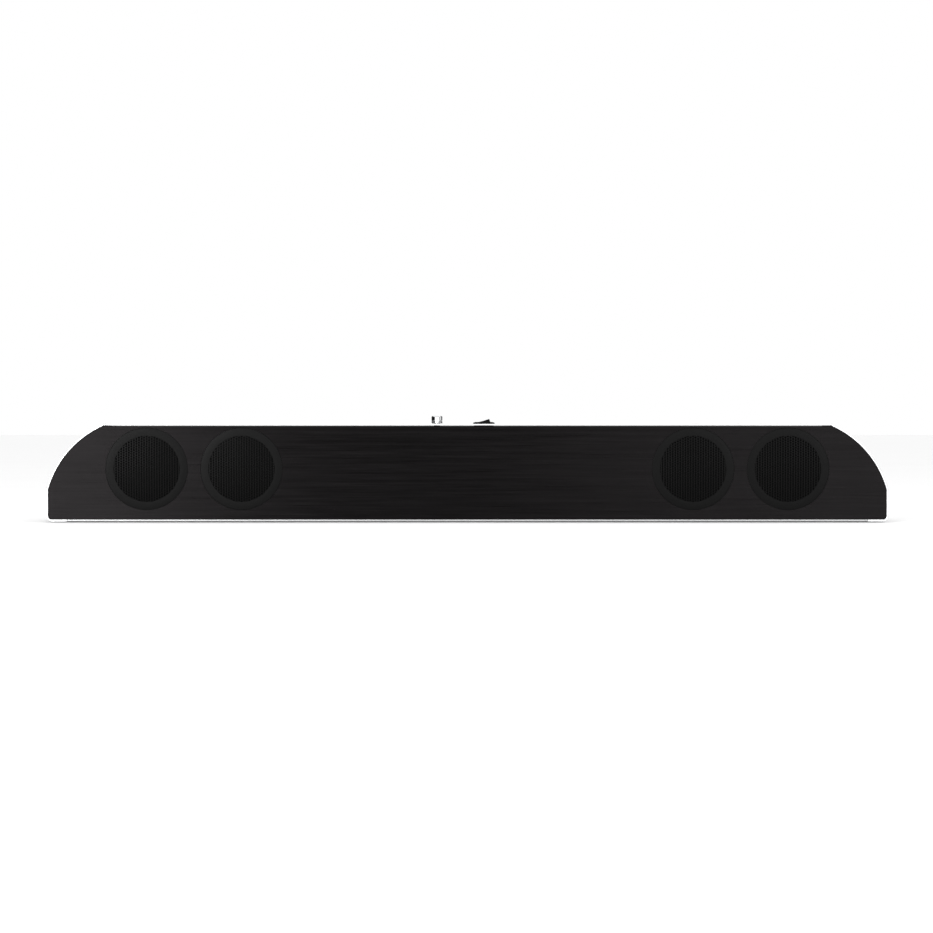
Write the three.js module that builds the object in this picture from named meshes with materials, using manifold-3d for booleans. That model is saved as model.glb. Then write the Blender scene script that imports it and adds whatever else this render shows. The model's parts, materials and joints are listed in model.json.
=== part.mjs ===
// Soundbar: a sheet-aluminium case with four full-range drivers behind round grilles, an amplifier,
// and a volume knob and a rocker switch on its top panel.
// Millimetres. +Z is up, +X is to the right seen from the front, and the front faces -Y.
// The origin is on the surface that the bar stands on, midway along its length and its depth.

import * as THREE from "three";
import { mergeVertices } from "three/addons/utils/BufferGeometryUtils.js";
import Module from "manifold-3d";

const wasm = await Module();
wasm.setup();

// ---------- Driving dimensions ----------

// Case
const barLength = 810; // over the end caps
const barDepth = 84; // front lip to rear lip
const sheetThickness = 1.5; // top panel and end caps
const floorThickness = 2; // bottom panel
const fitGap = 0.3; // left between pieces that meet
const endArcRadius = 97; // the rounded shoulder at each end
const endArcRun = 55; // length of the top that the shoulder takes
const endFlatHeight = 31; // where the shoulder meets the upright end, above the bottom
const cornerRadius = 5.8; // bottom corners
const endCapFoot = 20; // how far an end cap turns in under the bar
const tabLength = 12; // tongue of an end cap under the top and over the bottom panel
const padDiameter = 14;
const padProud = 0.8; // pad below the bottom panel
const padRecess = 1.2; // pad let into the bottom panel
const padFromEnd = 75;
const padFromLip = 16;

// Front
const lipProud = 1; // case lip in front of the plate
const plateThickness = 2;
const baffleThickness = 10;
const grilleDiameter = 79;
const grilleRingWidth = 7.75; // plain ring round the perforated dome
const grilleSheet = 0.8;
const grilleDomeRise = 0.9;
const grilleSkirt = 4.2; // turned-back edge of the grille
const grilleSetback = 0.2; // ring behind the plate's face
const grilleSpacing = 12.3; // between the two grilles of a pair
const webAboveGrille = 2; // plate above a grille
const webBelowGrille = 8.9; // plate below a grille
const grilleToEnd = 56.9; // outer grille to the end of the bar

// Drivers
const flangeToGrille = 1.3; // behind the grille's skirt
const flangeThickness = 3;
const flangeLedge = 1.2; // step that the surround is glued in
const surroundWidth = 8.4; // from the flange rim to the cone
const rollRadius = 2.75;
const basketDepth = 21; // flange to magnet
const magnetRadius = 26;
const magnetThickness = 12;
const yokeThickness = 4;
const coilRadius = 10.7;
const coilThickness = 0.8;
const coneDepth = 12;

// Back
const rearLip = 3; // case lip behind the rear panel
const rearPanelThickness = 2;
const bulkheadThickness = 9;
const bulkheadToDriver = 28; // between a bulkhead and the inner driver
const cupWidth = 92; // connector recess
const cupHeight = 30;
const cupDepth = 15;
const cupWall = 1.5;
const cupCentreHeight = 46;
const hangerWidth = 27; // wall-hanging pocket, inside
const hangerHeight = 37;
const hangerDepth = 7.5;
const hangerWall = 1.5;
const hangerCentreHeight = 62;
const keyholeHeadRadius = 4.9;
const keyholeSlotWidth = 5;
const keyholeTravel = 12;
const screwHeadRadius = 3;
const screwHeadHeight = 1.6;
const screwRadius = 1.5;
const screwLength = 10;
const ventSlotWidth = 3;
const ventSlotHeight = 22;
const ventSlotPitch = 7;
const ventSlotsPerSide = 5;

// Controls on the top panel
const knobX = -29.6;
const switchX = 16.1;
const knobDiameter = 10.6;
const knobHeight = 7.7; // knob top above the panel
const knobLift = 0.5;
const shaftRadius = 3;
const bezelLength = 21;
const bezelWidth = 15;
const bezelHeight = 1.9;
const bezelLip = 1.1; // bezel past the switch's body, all round
const switchBodyDepth = 14;
const switchEndWall = 1.5;
const switchSideWall = 1;
const rockerSwingGap = 1.7; // between a level rocker's top edges and the ends of its window
const rockerTilt = 15; // degrees, either way from level
const rockerDish = 4.6; // degrees that each face falls towards the middle
const rockerRise = 1.3; // middle of a level rocker above the bezel
const rockerPivotDepth = 2; // pivot below the panel's top

// Amplifier
const boardLength = 128;
const boardWidth = 40;
const boardThickness = 1.6;
const boardStandoff = 6;
const leadRadius = 1.8;

// ---------- Places worked out from them ----------

const front = -barDepth / 2;
const rear = barDepth / 2;
const halfLength = barLength / 2;

const plateHeight = webBelowGrille + grilleDiameter + webAboveGrille;
const floorBottom = padProud;
const floorTop = floorBottom + floorThickness;
const plateBottom = floorTop + fitGap;
const roofBottom = plateBottom + plateHeight + fitGap;
const roofTop = roofBottom + sheetThickness;

const plateFront = front + lipProud;
const plateBack = plateFront + plateThickness;
const baffleFront = plateBack + fitGap;
const baffleBack = baffleFront + baffleThickness;
const rearPanelBack = rear - rearLip;
const rearPanelFront = rearPanelBack - rearPanelThickness;
const shelfBack = rearPanelFront - fitGap; // the parts behind the rear panel stop here

const switchBodyLength = bezelLength - 2 * bezelLip;
const switchBodyWidth = bezelWidth - 2 * bezelLip;
const windowLength = switchBodyLength - 2 * switchEndWall;
const windowWidth = switchBodyWidth - 2 * switchSideWall;
const rockerLength = windowLength - 2 * rockerSwingGap;
const rockerWidth = windowWidth - 2 * fitGap;

const grilleRadius = grilleDiameter / 2;
const grilleHoleRadius = grilleRadius + fitGap;
const driverZ = plateBottom + webBelowGrille + grilleRadius;
const outerDriverX = halfLength - grilleToEnd - grilleRadius;
const innerDriverX = outerDriverX - grilleDiameter - grilleSpacing;
const bulkheadX = innerDriverX - grilleRadius - bulkheadToDriver;
const hangerX = (innerDriverX + outerDriverX) / 2;

const fineSegments = 32; // the knob
const grilleSegments = 24;
const plainSegments = 16; // round pieces inside
const smallSegments = 12; // screws and sockets
const arcSegments = 4; // half the sides that an arc of a drawn outline gets

// ---------- Geometry helpers: three.js shapes in, closed three.js geometry out ----------

const weldTolerance = 1e-4;
const over = 1; // how far a cutting tool runs past what it cuts

function toSolid(geometry) {
  const bare = geometry.clone();
  bare.deleteAttribute("normal");
  bare.deleteAttribute("uv");
  const welded = mergeVertices(bare, weldTolerance);
  return new wasm.Manifold(
    new wasm.Mesh({
      numProp: 3,
      vertProperties: welded.attributes.position.array,
      triVerts: new Uint32Array(welded.index.array),
    }),
  );
}

function toGeometry(solid) {
  const mesh = solid.getMesh();
  const indexed = new THREE.BufferGeometry();
  indexed.setAttribute("position", new THREE.BufferAttribute(mesh.vertProperties, mesh.numProp));
  indexed.setIndex(new THREE.BufferAttribute(mesh.triVerts, 1));
  const flat = indexed.toNonIndexed();
  flat.computeVertexNormals();
  return flat;
}

function combine(operation, base, tools) {
  let solid = toSolid(base);
  for (const tool of tools) solid = solid[operation](toSolid(tool));
  return toGeometry(solid);
}
const cut = (base, ...tools) => combine("subtract", base, tools);
const join = (base, ...tools) => combine("add", base, tools);
const common = (base, ...tools) => combine("intersect", base, tools);

// A box between two values on each axis.
function block([x0, x1], [y0, y1], [z0, z1]) {
  const box = new THREE.BoxGeometry(x1 - x0, y1 - y0, z1 - z0);
  return box.translate((x0 + x1) / 2, (y0 + y1) / 2, (z0 + z1) / 2);
}

// A shape drawn in X and Z, given depth between two values of Y.
function slab(shape, y0, y1) {
  const options = { depth: y1 - y0, bevelEnabled: false, curveSegments: arcSegments };
  return new THREE.ExtrudeGeometry(shape, options).rotateX(Math.PI / 2).translate(0, y1, 0);
}

// A profile of [radius, height] points turned about Z. It starts and ends on the axis, or is a loop.
function turned(profile, segments) {
  const points = profile.map(([r, h]) => new THREE.Vector2(r, h));
  const closed = points[0].x === 0 && points.at(-1).x === 0 ? points : [...points, points[0].clone()];
  if (THREE.ShapeUtils.area(closed) < 0) closed.reverse();
  return new THREE.LatheGeometry(closed, segments).rotateX(Math.PI / 2);
}

// The same about Y, each point being [radius, y].
function turnedOnY(profile, segments) {
  const mirrored = profile.map(([r, y]) => [r, -y]);
  return turned(mirrored, segments).rotateX(Math.PI / 2);
}

const rodOnY = (radius, y0, y1, segments) =>
  turnedOnY([[0, y0], [radius, y0], [radius, y1], [0, y1]], segments);
const rodOnZ = (radius, z0, z1, segments) =>
  turned([[0, z0], [radius, z0], [radius, z1], [0, z1]], segments);

// A round hole for a shape, in quarter arcs.
function circleHole(x, z, radius) {
  const path = new THREE.Path();
  for (let quarter = 0; quarter < 4; quarter++) {
    path.absarc(x, z, radius, (quarter * Math.PI) / 2, ((quarter + 1) * Math.PI) / 2, false);
  }
  return path;
}
// Centre of the right shoulder's arc: it passes the end of the top and the top of the upright end.
function shoulderCentre() {
  const side = new THREE.Vector2(halfLength, floorBottom + endFlatHeight);
  const top = new THREE.Vector2(halfLength - endArcRun, roofTop);
  const chord = top.clone().sub(side);
  const toCentre = Math.sqrt(endArcRadius ** 2 - chord.lengthSq() / 4);
  const inward = new THREE.Vector2(-chord.y, chord.x).normalize();
  return side.add(top).multiplyScalar(0.5).addScaledVector(inward, toCentre);
}
const shoulder = shoulderCentre();

// The bar's outline seen from the front, in X and Z, brought in by inset, and by floorInset at the bottom.
function outline(inset, floorInset = inset) {
  const half = halfLength - inset;
  const top = roofTop - inset;
  const bottom = floorBottom + floorInset;
  const radius = endArcRadius - inset;
  const corner = cornerRadius - inset;
  const sideAngle = Math.acos((half - shoulder.x) / radius);
  const topAngle = Math.asin((top - shoulder.y) / radius);
  const shape = new THREE.Shape();
  shape.moveTo(corner - half, bottom);
  shape.lineTo(half - corner, bottom);
  shape.absarc(half - corner, bottom + corner, corner, -Math.PI / 2, 0, false);
  shape.absarc(shoulder.x, shoulder.y, radius, sideAngle, topAngle, false);
  shape.absarc(-shoulder.x, shoulder.y, radius, Math.PI - topAngle, Math.PI - sideAngle, false);
  shape.absarc(corner - half, bottom + corner, corner, Math.PI, Math.PI * 1.5, false);
  return shape;
}
const insideCase = () => outline(sheetThickness + fitGap, floorThickness + fitGap);

// ---------- Materials ----------

const finish = (color, roughness, metalness) =>
  new THREE.MeshStandardMaterial({ color, roughness, metalness });
const blackAnodised = finish(0x2b2a2b, 0.42, 1);
const silverAnodised = finish(0xc9cbcd, 0.35, 1);
const blackPaintedSteel = finish(0x141415, 0.6, 0.4);
const blackPlastic = finish(0x101010, 0.45, 0);
const chrome = finish(0xdcdde0, 0.08, 1);
const zincSteel = finish(0xa9abae, 0.3, 1);
const ferrite = finish(0x2e2d2c, 0.8, 0.1);
const conePaper = finish(0x1a1a1a, 0.75, 0);
const rubber = finish(0x0c0c0c, 0.7, 0);
const copper = finish(0xb4622d, 0.4, 1);
const fibreboard = finish(0x8a6b47, 0.85, 0);
const circuitBoard = finish(0x1c5a34, 0.5, 0);
const bareAluminium = finish(0xb9bcc0, 0.4, 1);
const cableJacket = finish(0x7a1f1c, 0.5, 0);

const bar = new THREE.Group();
function addPiece(name, geometry, material, parent = bar) {
  const mesh = new THREE.Mesh(geometry, material);
  mesh.name = name;
  parent.add(mesh);
  return mesh;
}
const sides = [
  { name: "left", sign: -1 },
  { name: "right", sign: 1 },
];

// ---------- Case ----------

const caseRing = cut(
  slab(outline(0), front, rear),
  slab(outline(sheetThickness, floorThickness), front - over, rear + over),
);
const roofSeam = halfLength - endArcRun; // the top panel ends where the shoulders begin
const floorSeam = halfLength - endCapFoot;
const middle = (floorBottom + roofTop) / 2;
const acrossDepth = [front - over, rear + over];

function topPanel() {
  const half = roofSeam - fitGap / 2;
  const panel = common(caseRing, block([-half, half], acrossDepth, [middle, roofTop + over]));
  const shaftHole = rodOnZ(shaftRadius + 2 * fitGap, roofBottom - over, roofTop + over, plainSegments);
  const switchHole = block(
    [switchX - switchBodyLength / 2 - fitGap, switchX + switchBodyLength / 2 + fitGap],
    [-switchBodyWidth / 2 - fitGap, switchBodyWidth / 2 + fitGap],
    [roofBottom - over, roofTop + over],
  );
  return cut(panel, shaftHole.translate(knobX, 0, 0), switchHole);
}

const padPlaces = [
  { name: "pad_front_left", x: -(halfLength - padFromEnd), y: front + padFromLip },
  { name: "pad_front_right", x: halfLength - padFromEnd, y: front + padFromLip },
  { name: "pad_rear_left", x: -(halfLength - padFromEnd), y: rear - padFromLip },
  { name: "pad_rear_right", x: halfLength - padFromEnd, y: rear - padFromLip },
];

function bottomPanel() {
  const half = floorSeam - fitGap / 2;
  const panel = common(caseRing, block([-half, half], acrossDepth, [floorBottom - over, middle]));
  const seats = padPlaces.map(({ x, y }) =>
    rodOnZ(padDiameter / 2 + fitGap, floorBottom - over, floorBottom + padRecess, plainSegments).translate(x, y, 0),
  );
  return cut(panel, ...seats);
}

// Screws hold the rear panel: two in each bulkhead, and one in a block of each end cap.
const endBlockSize = 14;
const endBlockX = halfLength - sheetThickness - endBlockSize / 2;
const endBlockZ = floorTop + fitGap + endBlockSize / 2;
const screwInset = 12; // bulkhead screws below the roof and above the floor
const screwPlaces = [-1, 1].flatMap((sign) => [
  { x: sign * bulkheadX, z: floorTop + screwInset },
  { x: sign * bulkheadX, z: roofBottom - screwInset },
  { x: sign * endBlockX, z: endBlockZ },
]);
const screwHole = ({ x, z }) =>
  rodOnY(screwRadius + fitGap, rearPanelFront - screwLength, rearPanelBack + over, smallSegments).translate(x, 0, z);

// The right end cap: a formed sheet with a tongue under the top panel, one over the bottom panel, and a
// screw block. The left one is its mirror image.
function endCap() {
  const bent = common(
    caseRing,
    join(
      block([roofSeam + fitGap / 2, halfLength + over], acrossDepth, [middle, roofTop + over]),
      block([floorSeam + fitGap / 2, halfLength + over], acrossDepth, [floorBottom - over, middle + over]),
    ),
  );
  const tongueDepth = [baffleBack + 2 * fitGap, rearPanelFront - 2 * fitGap];
  const topTongue = block([roofSeam - tabLength, roofSeam + 2 * sheetThickness], tongueDepth, [
    roofBottom - fitGap - sheetThickness,
    roofBottom - fitGap,
  ]);
  const floorTongue = block([floorSeam - tabLength, floorSeam + tabLength], tongueDepth, [
    floorTop + fitGap,
    floorTop + fitGap + sheetThickness,
  ]);
  const tongueRoot = block([floorSeam + fitGap, floorSeam + tabLength], tongueDepth, [
    floorTop - sheetThickness / 2,
    floorTop + fitGap + sheetThickness,
  ]);
  const insideSkin = slab(outline(fitGap), front, rear);
  const screwBlock = block(
    [endBlockX - endBlockSize / 2, halfLength - sheetThickness / 2],
    [shelfBack - endBlockSize, shelfBack],
    [floorTop - floorThickness / 2, endBlockZ + endBlockSize / 2],
  );
  const cap = join(bent, common(topTongue, insideSkin), floorTongue, tongueRoot, screwBlock);
  return cut(cap, screwHole({ x: endBlockX, z: endBlockZ }));
}

addPiece("top_panel", topPanel(), silverAnodised);
addPiece("bottom_panel", bottomPanel(), silverAnodised);
for (const { name, sign } of sides) addPiece(`end_cap_${name}`, endCap(), silverAnodised).scale.x = sign;

for (const { name, x, y } of padPlaces) {
  const pad = rodOnZ(padDiameter / 2, 0, padProud + padRecess - fitGap, plainSegments);
  addPiece(name, pad, rubber).position.set(x, y, 0);
}

// ---------- Front plate, baffle and bulkheads ----------

const driverPlaces = [
  { name: "left_outer", x: -outerDriverX },
  { name: "left_inner", x: -innerDriverX },
  { name: "right_inner", x: innerDriverX },
  { name: "right_outer", x: outerDriverX },
];

function frontPlate() {
  const shape = insideCase();
  for (const { x } of driverPlaces) shape.holes.push(circleHole(x, driverZ, grilleHoleRadius));
  return slab(shape, plateFront, plateBack);
}

// Driver depths, all along Y from the front of the flange.
const grilleFront = plateFront + grilleSetback;
const flangeRadius = grilleRadius - fitGap;
const flangeFront = grilleFront + grilleSkirt + flangeToGrille;
const flangeBack = flangeFront + flangeThickness;
const rimRadius = flangeRadius - 2.7; // inside edge of the flange's raised rim
const coneRadius = rimRadius - surroundWidth;
const basketMouth = rimRadius - 3;
const baffleHoleRadius = flangeRadius - 3;

function baffle() {
  const board = slab(insideCase(), baffleFront, baffleBack);
  const holes = driverPlaces.flatMap(({ x }) => [
    rodOnY(baffleHoleRadius, baffleFront - over, baffleBack + over, plainSegments).translate(x, 0, driverZ),
    rodOnY(grilleHoleRadius, baffleFront - over, flangeBack + fitGap, grilleSegments).translate(x, 0, driverZ),
  ]);
  return cut(board, ...holes);
}

// The drivers' lead runs below their terminals and through a hole in each bulkhead.
const terminalDrop = 5.5; // terminal block below the basket's rear ring
const ringRadius = magnetRadius - 0.5;
const leadY = flangeBack + basketDepth - 2;
const leadZ = driverZ - ringRadius - terminalDrop - fitGap - leadRadius;

function bulkhead(sign) {
  const x = sign * bulkheadX;
  const board = block(
    [x - bulkheadThickness / 2, x + bulkheadThickness / 2],
    [baffleBack + fitGap, shelfBack],
    [floorTop + fitGap, roofBottom - fitGap],
  );
  const reach = bulkheadThickness;
  const leadHole = rodOnZ(leadRadius + 2 * fitGap, -reach, reach, smallSegments)
    .rotateY(Math.PI / 2)
    .translate(x, leadY, leadZ);
  const holes = screwPlaces.filter((place) => place.x === x).map(screwHole);
  return cut(board, leadHole, ...holes);
}

addPiece("front_plate", frontPlate(), blackAnodised);
addPiece("baffle", baffle(), fibreboard);
for (const { name, sign } of sides) addPiece(`bulkhead_${name}`, bulkhead(sign), fibreboard);

// ---------- Drivers: each is built on its own axis, which runs along Y ----------

// Round steel grille: a plain ring with a turned-back skirt, and a shallow dome.
function grille() {
  const domeRadius = grilleRadius - grilleRingWidth;
  const dome = (r, y) => [r, y - grilleDomeRise * (1 - (r / domeRadius) ** 2)];
  const domeSteps = [0, 0.6, 1].map((share) => share * domeRadius);
  const frontFace = domeSteps.map((r) => dome(r, grilleFront));
  const backFace = domeSteps.map((r) => dome(r, grilleFront + grilleSheet)).reverse();
  const edgeRound = 0.5;
  const edge = [
    [grilleRadius - edgeRound, grilleFront],
    [grilleRadius, grilleFront + edgeRound],
    [grilleRadius, grilleFront + grilleSkirt],
    [grilleRadius - grilleSheet, grilleFront + grilleSkirt],
    [grilleRadius - grilleSheet, grilleFront + grilleSheet],
  ];
  return turnedOnY([...frontFace, ...edge, ...backFace], grilleSegments);
}

// Pressed basket: flange, four legs, and a ring that the magnet is fixed to, with the terminal block below.
function basket() {
  const ledge = flangeFront + flangeLedge;
  const ringFront = flangeBack + basketDepth - 1.5;
  const ringBack = flangeBack + basketDepth;
  const legThickness = 1.6;
  const shell = turnedOnY(
    [
      [flangeRadius, flangeFront],
      [flangeRadius, flangeBack],
      [basketMouth + legThickness, flangeBack],
      [ringRadius, ringFront],
      [ringRadius, ringBack],
      [coilRadius + 2, ringBack],
      [coilRadius + 2, ringFront],
      [ringRadius - legThickness, ringFront],
      [basketMouth, flangeBack - 0.5],
      [basketMouth, ledge],
      [rimRadius, ledge],
      [rimRadius, flangeFront],
    ],
    plainSegments,
  );
  const windowHalf = 0.62 * ringRadius;
  const windows = [45, 135].map((degrees) =>
    block(
      [-2 * flangeRadius, 2 * flangeRadius],
      [flangeBack + 1.5, ringFront - 1.5],
      [-windowHalf, windowHalf],
    ).rotateY(THREE.MathUtils.degToRad(degrees)),
  );
  const terminals = block(
    [-7, 7],
    [ringBack - 4, ringBack],
    [-ringRadius - terminalDrop, -ringRadius + 1.5],
  );
  return join(cut(shell, ...windows), terminals);
}

// Ferrite ring between two steel plates, with the pole piece in the middle.
function magnet() {
  const plateStart = flangeBack + basketDepth + fitGap;
  const ringStart = plateStart + yokeThickness;
  const ringEnd = ringStart + magnetThickness;
  const poleRadius = coilRadius - coilThickness - 0.5;
  const gapRadius = coilRadius + 0.6;
  const yokeRadius = magnetRadius - 2;
  return turnedOnY(
    [
      [0, plateStart - 2],
      [poleRadius, plateStart - 2],
      [poleRadius, ringEnd],
      [gapRadius + 3, ringEnd],
      [gapRadius + 3, ringStart],
      [gapRadius, ringStart],
      [gapRadius, plateStart],
      [yokeRadius, plateStart],
      [yokeRadius, ringStart],
      [magnetRadius, ringStart],
      [magnetRadius, ringEnd],
      [yokeRadius, ringEnd],
      [yokeRadius, ringEnd + yokeThickness],
      [0, ringEnd + yokeThickness],
    ],
    plainSegments,
  );
}

// Paper cone with a flat edge for the surround and a domed dust cap.
const coneEdgeFront = flangeFront + flangeLedge;
function cone() {
  const neck = coneEdgeFront + coneDepth;
  const paper = 0.8;
  const edgeWidth = 2.4;
  return turnedOnY(
    [
      [0, neck - 5.2],
      [coilRadius - 0.3, neck - 2.2],
      [coilRadius + fitGap, neck - 1.6],
      [coilRadius + fitGap, neck],
      [coilRadius + 1.3, neck],
      [coneRadius - edgeWidth, coneEdgeFront + paper],
      [coneRadius, coneEdgeFront + paper],
      [coneRadius, coneEdgeFront],
      [coneRadius - edgeWidth, coneEdgeFront],
      [coilRadius + 1.9, neck - 2.4],
      [coilRadius - 0.3, neck - 3.6],
      [0, neck - 6.2],
    ],
    plainSegments,
  );
}

// Rubber half-roll between the flange's ledge and the cone's edge.
function surround() {
  const rubberThickness = 0.5;
  const back = coneEdgeFront - fitGap;
  const rollCentre = (rimRadius + coneRadius) / 2;
  const halfRoll = (radius, reverse) => {
    const steps = [0, 1, 2, 3].map((step) => {
      const angle = (step * Math.PI) / 3;
      return [rollCentre + radius * Math.cos(angle), back - radius * Math.sin(angle)];
    });
    return reverse ? steps.reverse() : steps;
  };
  const frontFace = halfRoll(rollRadius + rubberThickness, false).slice(1, -1);
  const lipFront = back - rubberThickness;
  return turnedOnY(
    [
      [rimRadius - fitGap, back],
      [rimRadius - fitGap, lipFront],
      [rollCentre + rollRadius + rubberThickness, lipFront],
      ...frontFace,
      [rollCentre - rollRadius - rubberThickness, lipFront],
      [coneRadius - 2, lipFront],
      [coneRadius - 2, back],
      ...halfRoll(rollRadius, true),
    ],
    plainSegments,
  );
}

// Coil former in the magnet's gap.
function voiceCoil() {
  const frontEnd = coneEdgeFront + coneDepth - 1.2;
  const backEnd = flangeBack + basketDepth + fitGap + yokeThickness + 1;
  const inner = coilRadius - coilThickness;
  return turnedOnY([[coilRadius, frontEnd], [coilRadius, backEnd], [inner, backEnd], [inner, frontEnd]], plainSegments);
}

for (const { name, x } of driverPlaces) {
  const driver = new THREE.Group();
  driver.position.set(x, 0, driverZ);
  bar.add(driver);
  addPiece(`grille_${name}`, grille(), blackPaintedSteel, driver);
  addPiece(`basket_${name}`, basket(), blackPaintedSteel, driver);
  addPiece(`magnet_${name}`, magnet(), ferrite, driver);
  addPiece(`cone_${name}`, cone(), conePaper, driver);
  addPiece(`voice_coil_${name}`, voiceCoil(), copper, driver);
  addPiece(`surround_${name}`, surround(), rubber, driver);
}

// ---------- Back: rear panel, connector recess, wall hangers and screws ----------

const cupBack = shelfBack;
const cupFloor = cupBack - cupDepth; // face that the sockets are fixed in
const cupZ = floorBottom + cupCentreHeight;
const hangerZ = floorBottom + hangerCentreHeight;
const hangerWindowMargin = 5;

// A window through the rear panel, in its middle X and Z and its size.
function panelWindow(x, z, width, height) {
  return block(
    [x - width / 2, x + width / 2],
    [rearPanelFront - over, rearPanelBack + over],
    [z - height / 2, z + height / 2],
  );
}

function rearPanel() {
  const windows = [panelWindow(0, cupZ, cupWidth, cupHeight)];
  for (const { sign } of sides) {
    windows.push(
      panelWindow(
        sign * hangerX,
        hangerZ,
        hangerWidth - 2 * hangerWindowMargin,
        hangerHeight - 2 * hangerWindowMargin,
      ),
    );
    for (let slot = 0; slot < ventSlotsPerSide; slot++) {
      const x = sign * (cupWidth / 2 + (slot + 2) * ventSlotPitch);
      windows.push(panelWindow(x, cupZ, ventSlotWidth, ventSlotHeight));
    }
  }
  return cut(slab(insideCase(), rearPanelFront, rearPanelBack), ...windows, ...screwPlaces.map(screwHole));
}

// Sockets in the recess: each has a body behind the recess floor, a flange on it and a collar.
const sockets = [
  { name: "dc_inlet", x: -33, flange: 6.5, collar: 5.6, collarLength: 3, bore: 2.9, pin: 1.05, body: 5, material: blackPlastic },
  { name: "aux_jack", x: -11, flange: 4.4, collar: 3.8, collarLength: 3, bore: 1.8, pin: 0, body: 3.5, material: zincSteel },
  { name: "rca_jack_left", x: 12, flange: 5.6, collar: 4.15, collarLength: 9, bore: 1.7, pin: 0, body: 3.8, material: chrome },
  { name: "rca_jack_right", x: 32, flange: 5.6, collar: 4.15, collarLength: 9, bore: 1.7, pin: 0, body: 3.8, material: chrome },
];
const socketBodyLength = 8;

function connectorCup() {
  const reachX = cupWidth / 2 + cupWall;
  const reachZ = cupHeight / 2 + cupWall;
  const flangeWidth = 5;
  const outside = block([-reachX, reachX], [cupFloor - cupWall, cupBack], [cupZ - reachZ, cupZ + reachZ]);
  const flange = block(
    [-reachX - flangeWidth, reachX + flangeWidth],
    [cupBack - cupWall, cupBack],
    [cupZ - reachZ - flangeWidth, cupZ + reachZ + flangeWidth],
  );
  const pocket = block(
    [-cupWidth / 2, cupWidth / 2],
    [cupFloor, cupBack + over],
    [cupZ - cupHeight / 2, cupZ + cupHeight / 2],
  );
  const holes = sockets.map(({ x, body }) =>
    rodOnY(body + fitGap, cupFloor - cupWall - over, cupFloor + over, smallSegments).translate(x, 0, cupZ),
  );
  return cut(join(outside, flange), pocket, ...holes);
}

function socket({ flange, collar, collarLength, bore, pin, body }) {
  const seat = cupFloor + fitGap;
  const flangeTop = seat + 1;
  const mouth = cupFloor + collarLength;
  const boreEnd = mouth - Math.min(collarLength - 1, 7);
  const bottom = pin > 0 ? [[pin, boreEnd], [pin, mouth - 1], [0, mouth - 1]] : [[0, boreEnd]];
  return turnedOnY(
    [
      [0, cupFloor - cupWall - socketBodyLength],
      [body, cupFloor - cupWall - socketBodyLength],
      [body, seat],
      [flange, seat],
      [flange, flangeTop],
      [collar, flangeTop],
      [collar, mouth],
      [bore, mouth],
      [bore, boreEnd],
      ...bottom,
    ],
    smallSegments,
  );
}

// Steel pocket behind the rear panel with a keyhole for the head of a wall screw.
function hanger() {
  const reachX = hangerWidth / 2 + hangerWall;
  const reachZ = hangerHeight / 2 + hangerWall;
  const plateY = shelfBack - hangerWall;
  const flangeWidth = 4;
  const outside = block([-reachX, reachX], [plateY - hangerDepth - hangerWall, shelfBack], [-reachZ, reachZ]);
  const flange = block(
    [-reachX - flangeWidth, reachX + flangeWidth],
    [plateY, shelfBack],
    [-reachZ - flangeWidth, reachZ + flangeWidth],
  );
  const pocket = block(
    [-hangerWidth / 2, hangerWidth / 2],
    [plateY - hangerDepth, plateY],
    [-hangerHeight / 2, hangerHeight / 2],
  );
  const headZ = -keyholeTravel / 2;
  const head = rodOnY(keyholeHeadRadius, plateY - over, shelfBack + over, plainSegments).translate(0, 0, headZ);
  const slotEnd = rodOnY(keyholeSlotWidth / 2, plateY - over, shelfBack + over, plainSegments);
  const slot = block(
    [-keyholeSlotWidth / 2, keyholeSlotWidth / 2],
    [plateY - over, shelfBack + over],
    [headZ, headZ + keyholeTravel],
  );
  return cut(join(outside, flange), pocket, head, slot, slotEnd.translate(0, 0, headZ + keyholeTravel));
}

addPiece("rear_panel", rearPanel(), blackPaintedSteel);
addPiece("connector_cup", connectorCup(), blackPlastic);
for (const made of sockets) addPiece(made.name, socket(made), made.material).position.set(made.x, 0, cupZ);
for (const { name, sign } of sides) {
  addPiece(`wall_hanger_${name}`, hanger(), zincSteel).position.set(sign * hangerX, 0, hangerZ);
}

// Pan-head screws through the rear panel.
screwPlaces.forEach(({ x, z }, index) => {
  const headStart = rearPanelBack + fitGap;
  const screw = turnedOnY(
    [
      [0, rearPanelFront - screwLength + 2],
      [screwRadius, rearPanelFront - screwLength + 3],
      [screwRadius, headStart],
      [screwHeadRadius, headStart],
      [screwHeadRadius, headStart + screwHeadHeight / 2],
      [screwHeadRadius * 0.6, headStart + screwHeadHeight],
      [0, headStart + screwHeadHeight],
    ],
    smallSegments,
  );
  addPiece(`rear_screw_${index + 1}`, screw, zincSteel).position.set(x, 0, z);
});

// ---------- Controls on the top panel ----------

// The volume control hangs on a small board under the top panel.
const boardTop = roofBottom - 12;
function controlBoard() {
  const board = block([-16, 16], [-11, 11], [boardTop - boardThickness, boardTop]);
  const potBody = block([-6, 6], [-6, 6], [boardTop - 0.5, boardTop + 6.5]);
  const pillars = [-12.5, 12.5].map((x) =>
    rodOnZ(2.5, boardTop - 0.5, roofBottom - fitGap, smallSegments).translate(x, 0, 0),
  );
  return join(board, potBody, ...pillars);
}

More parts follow.
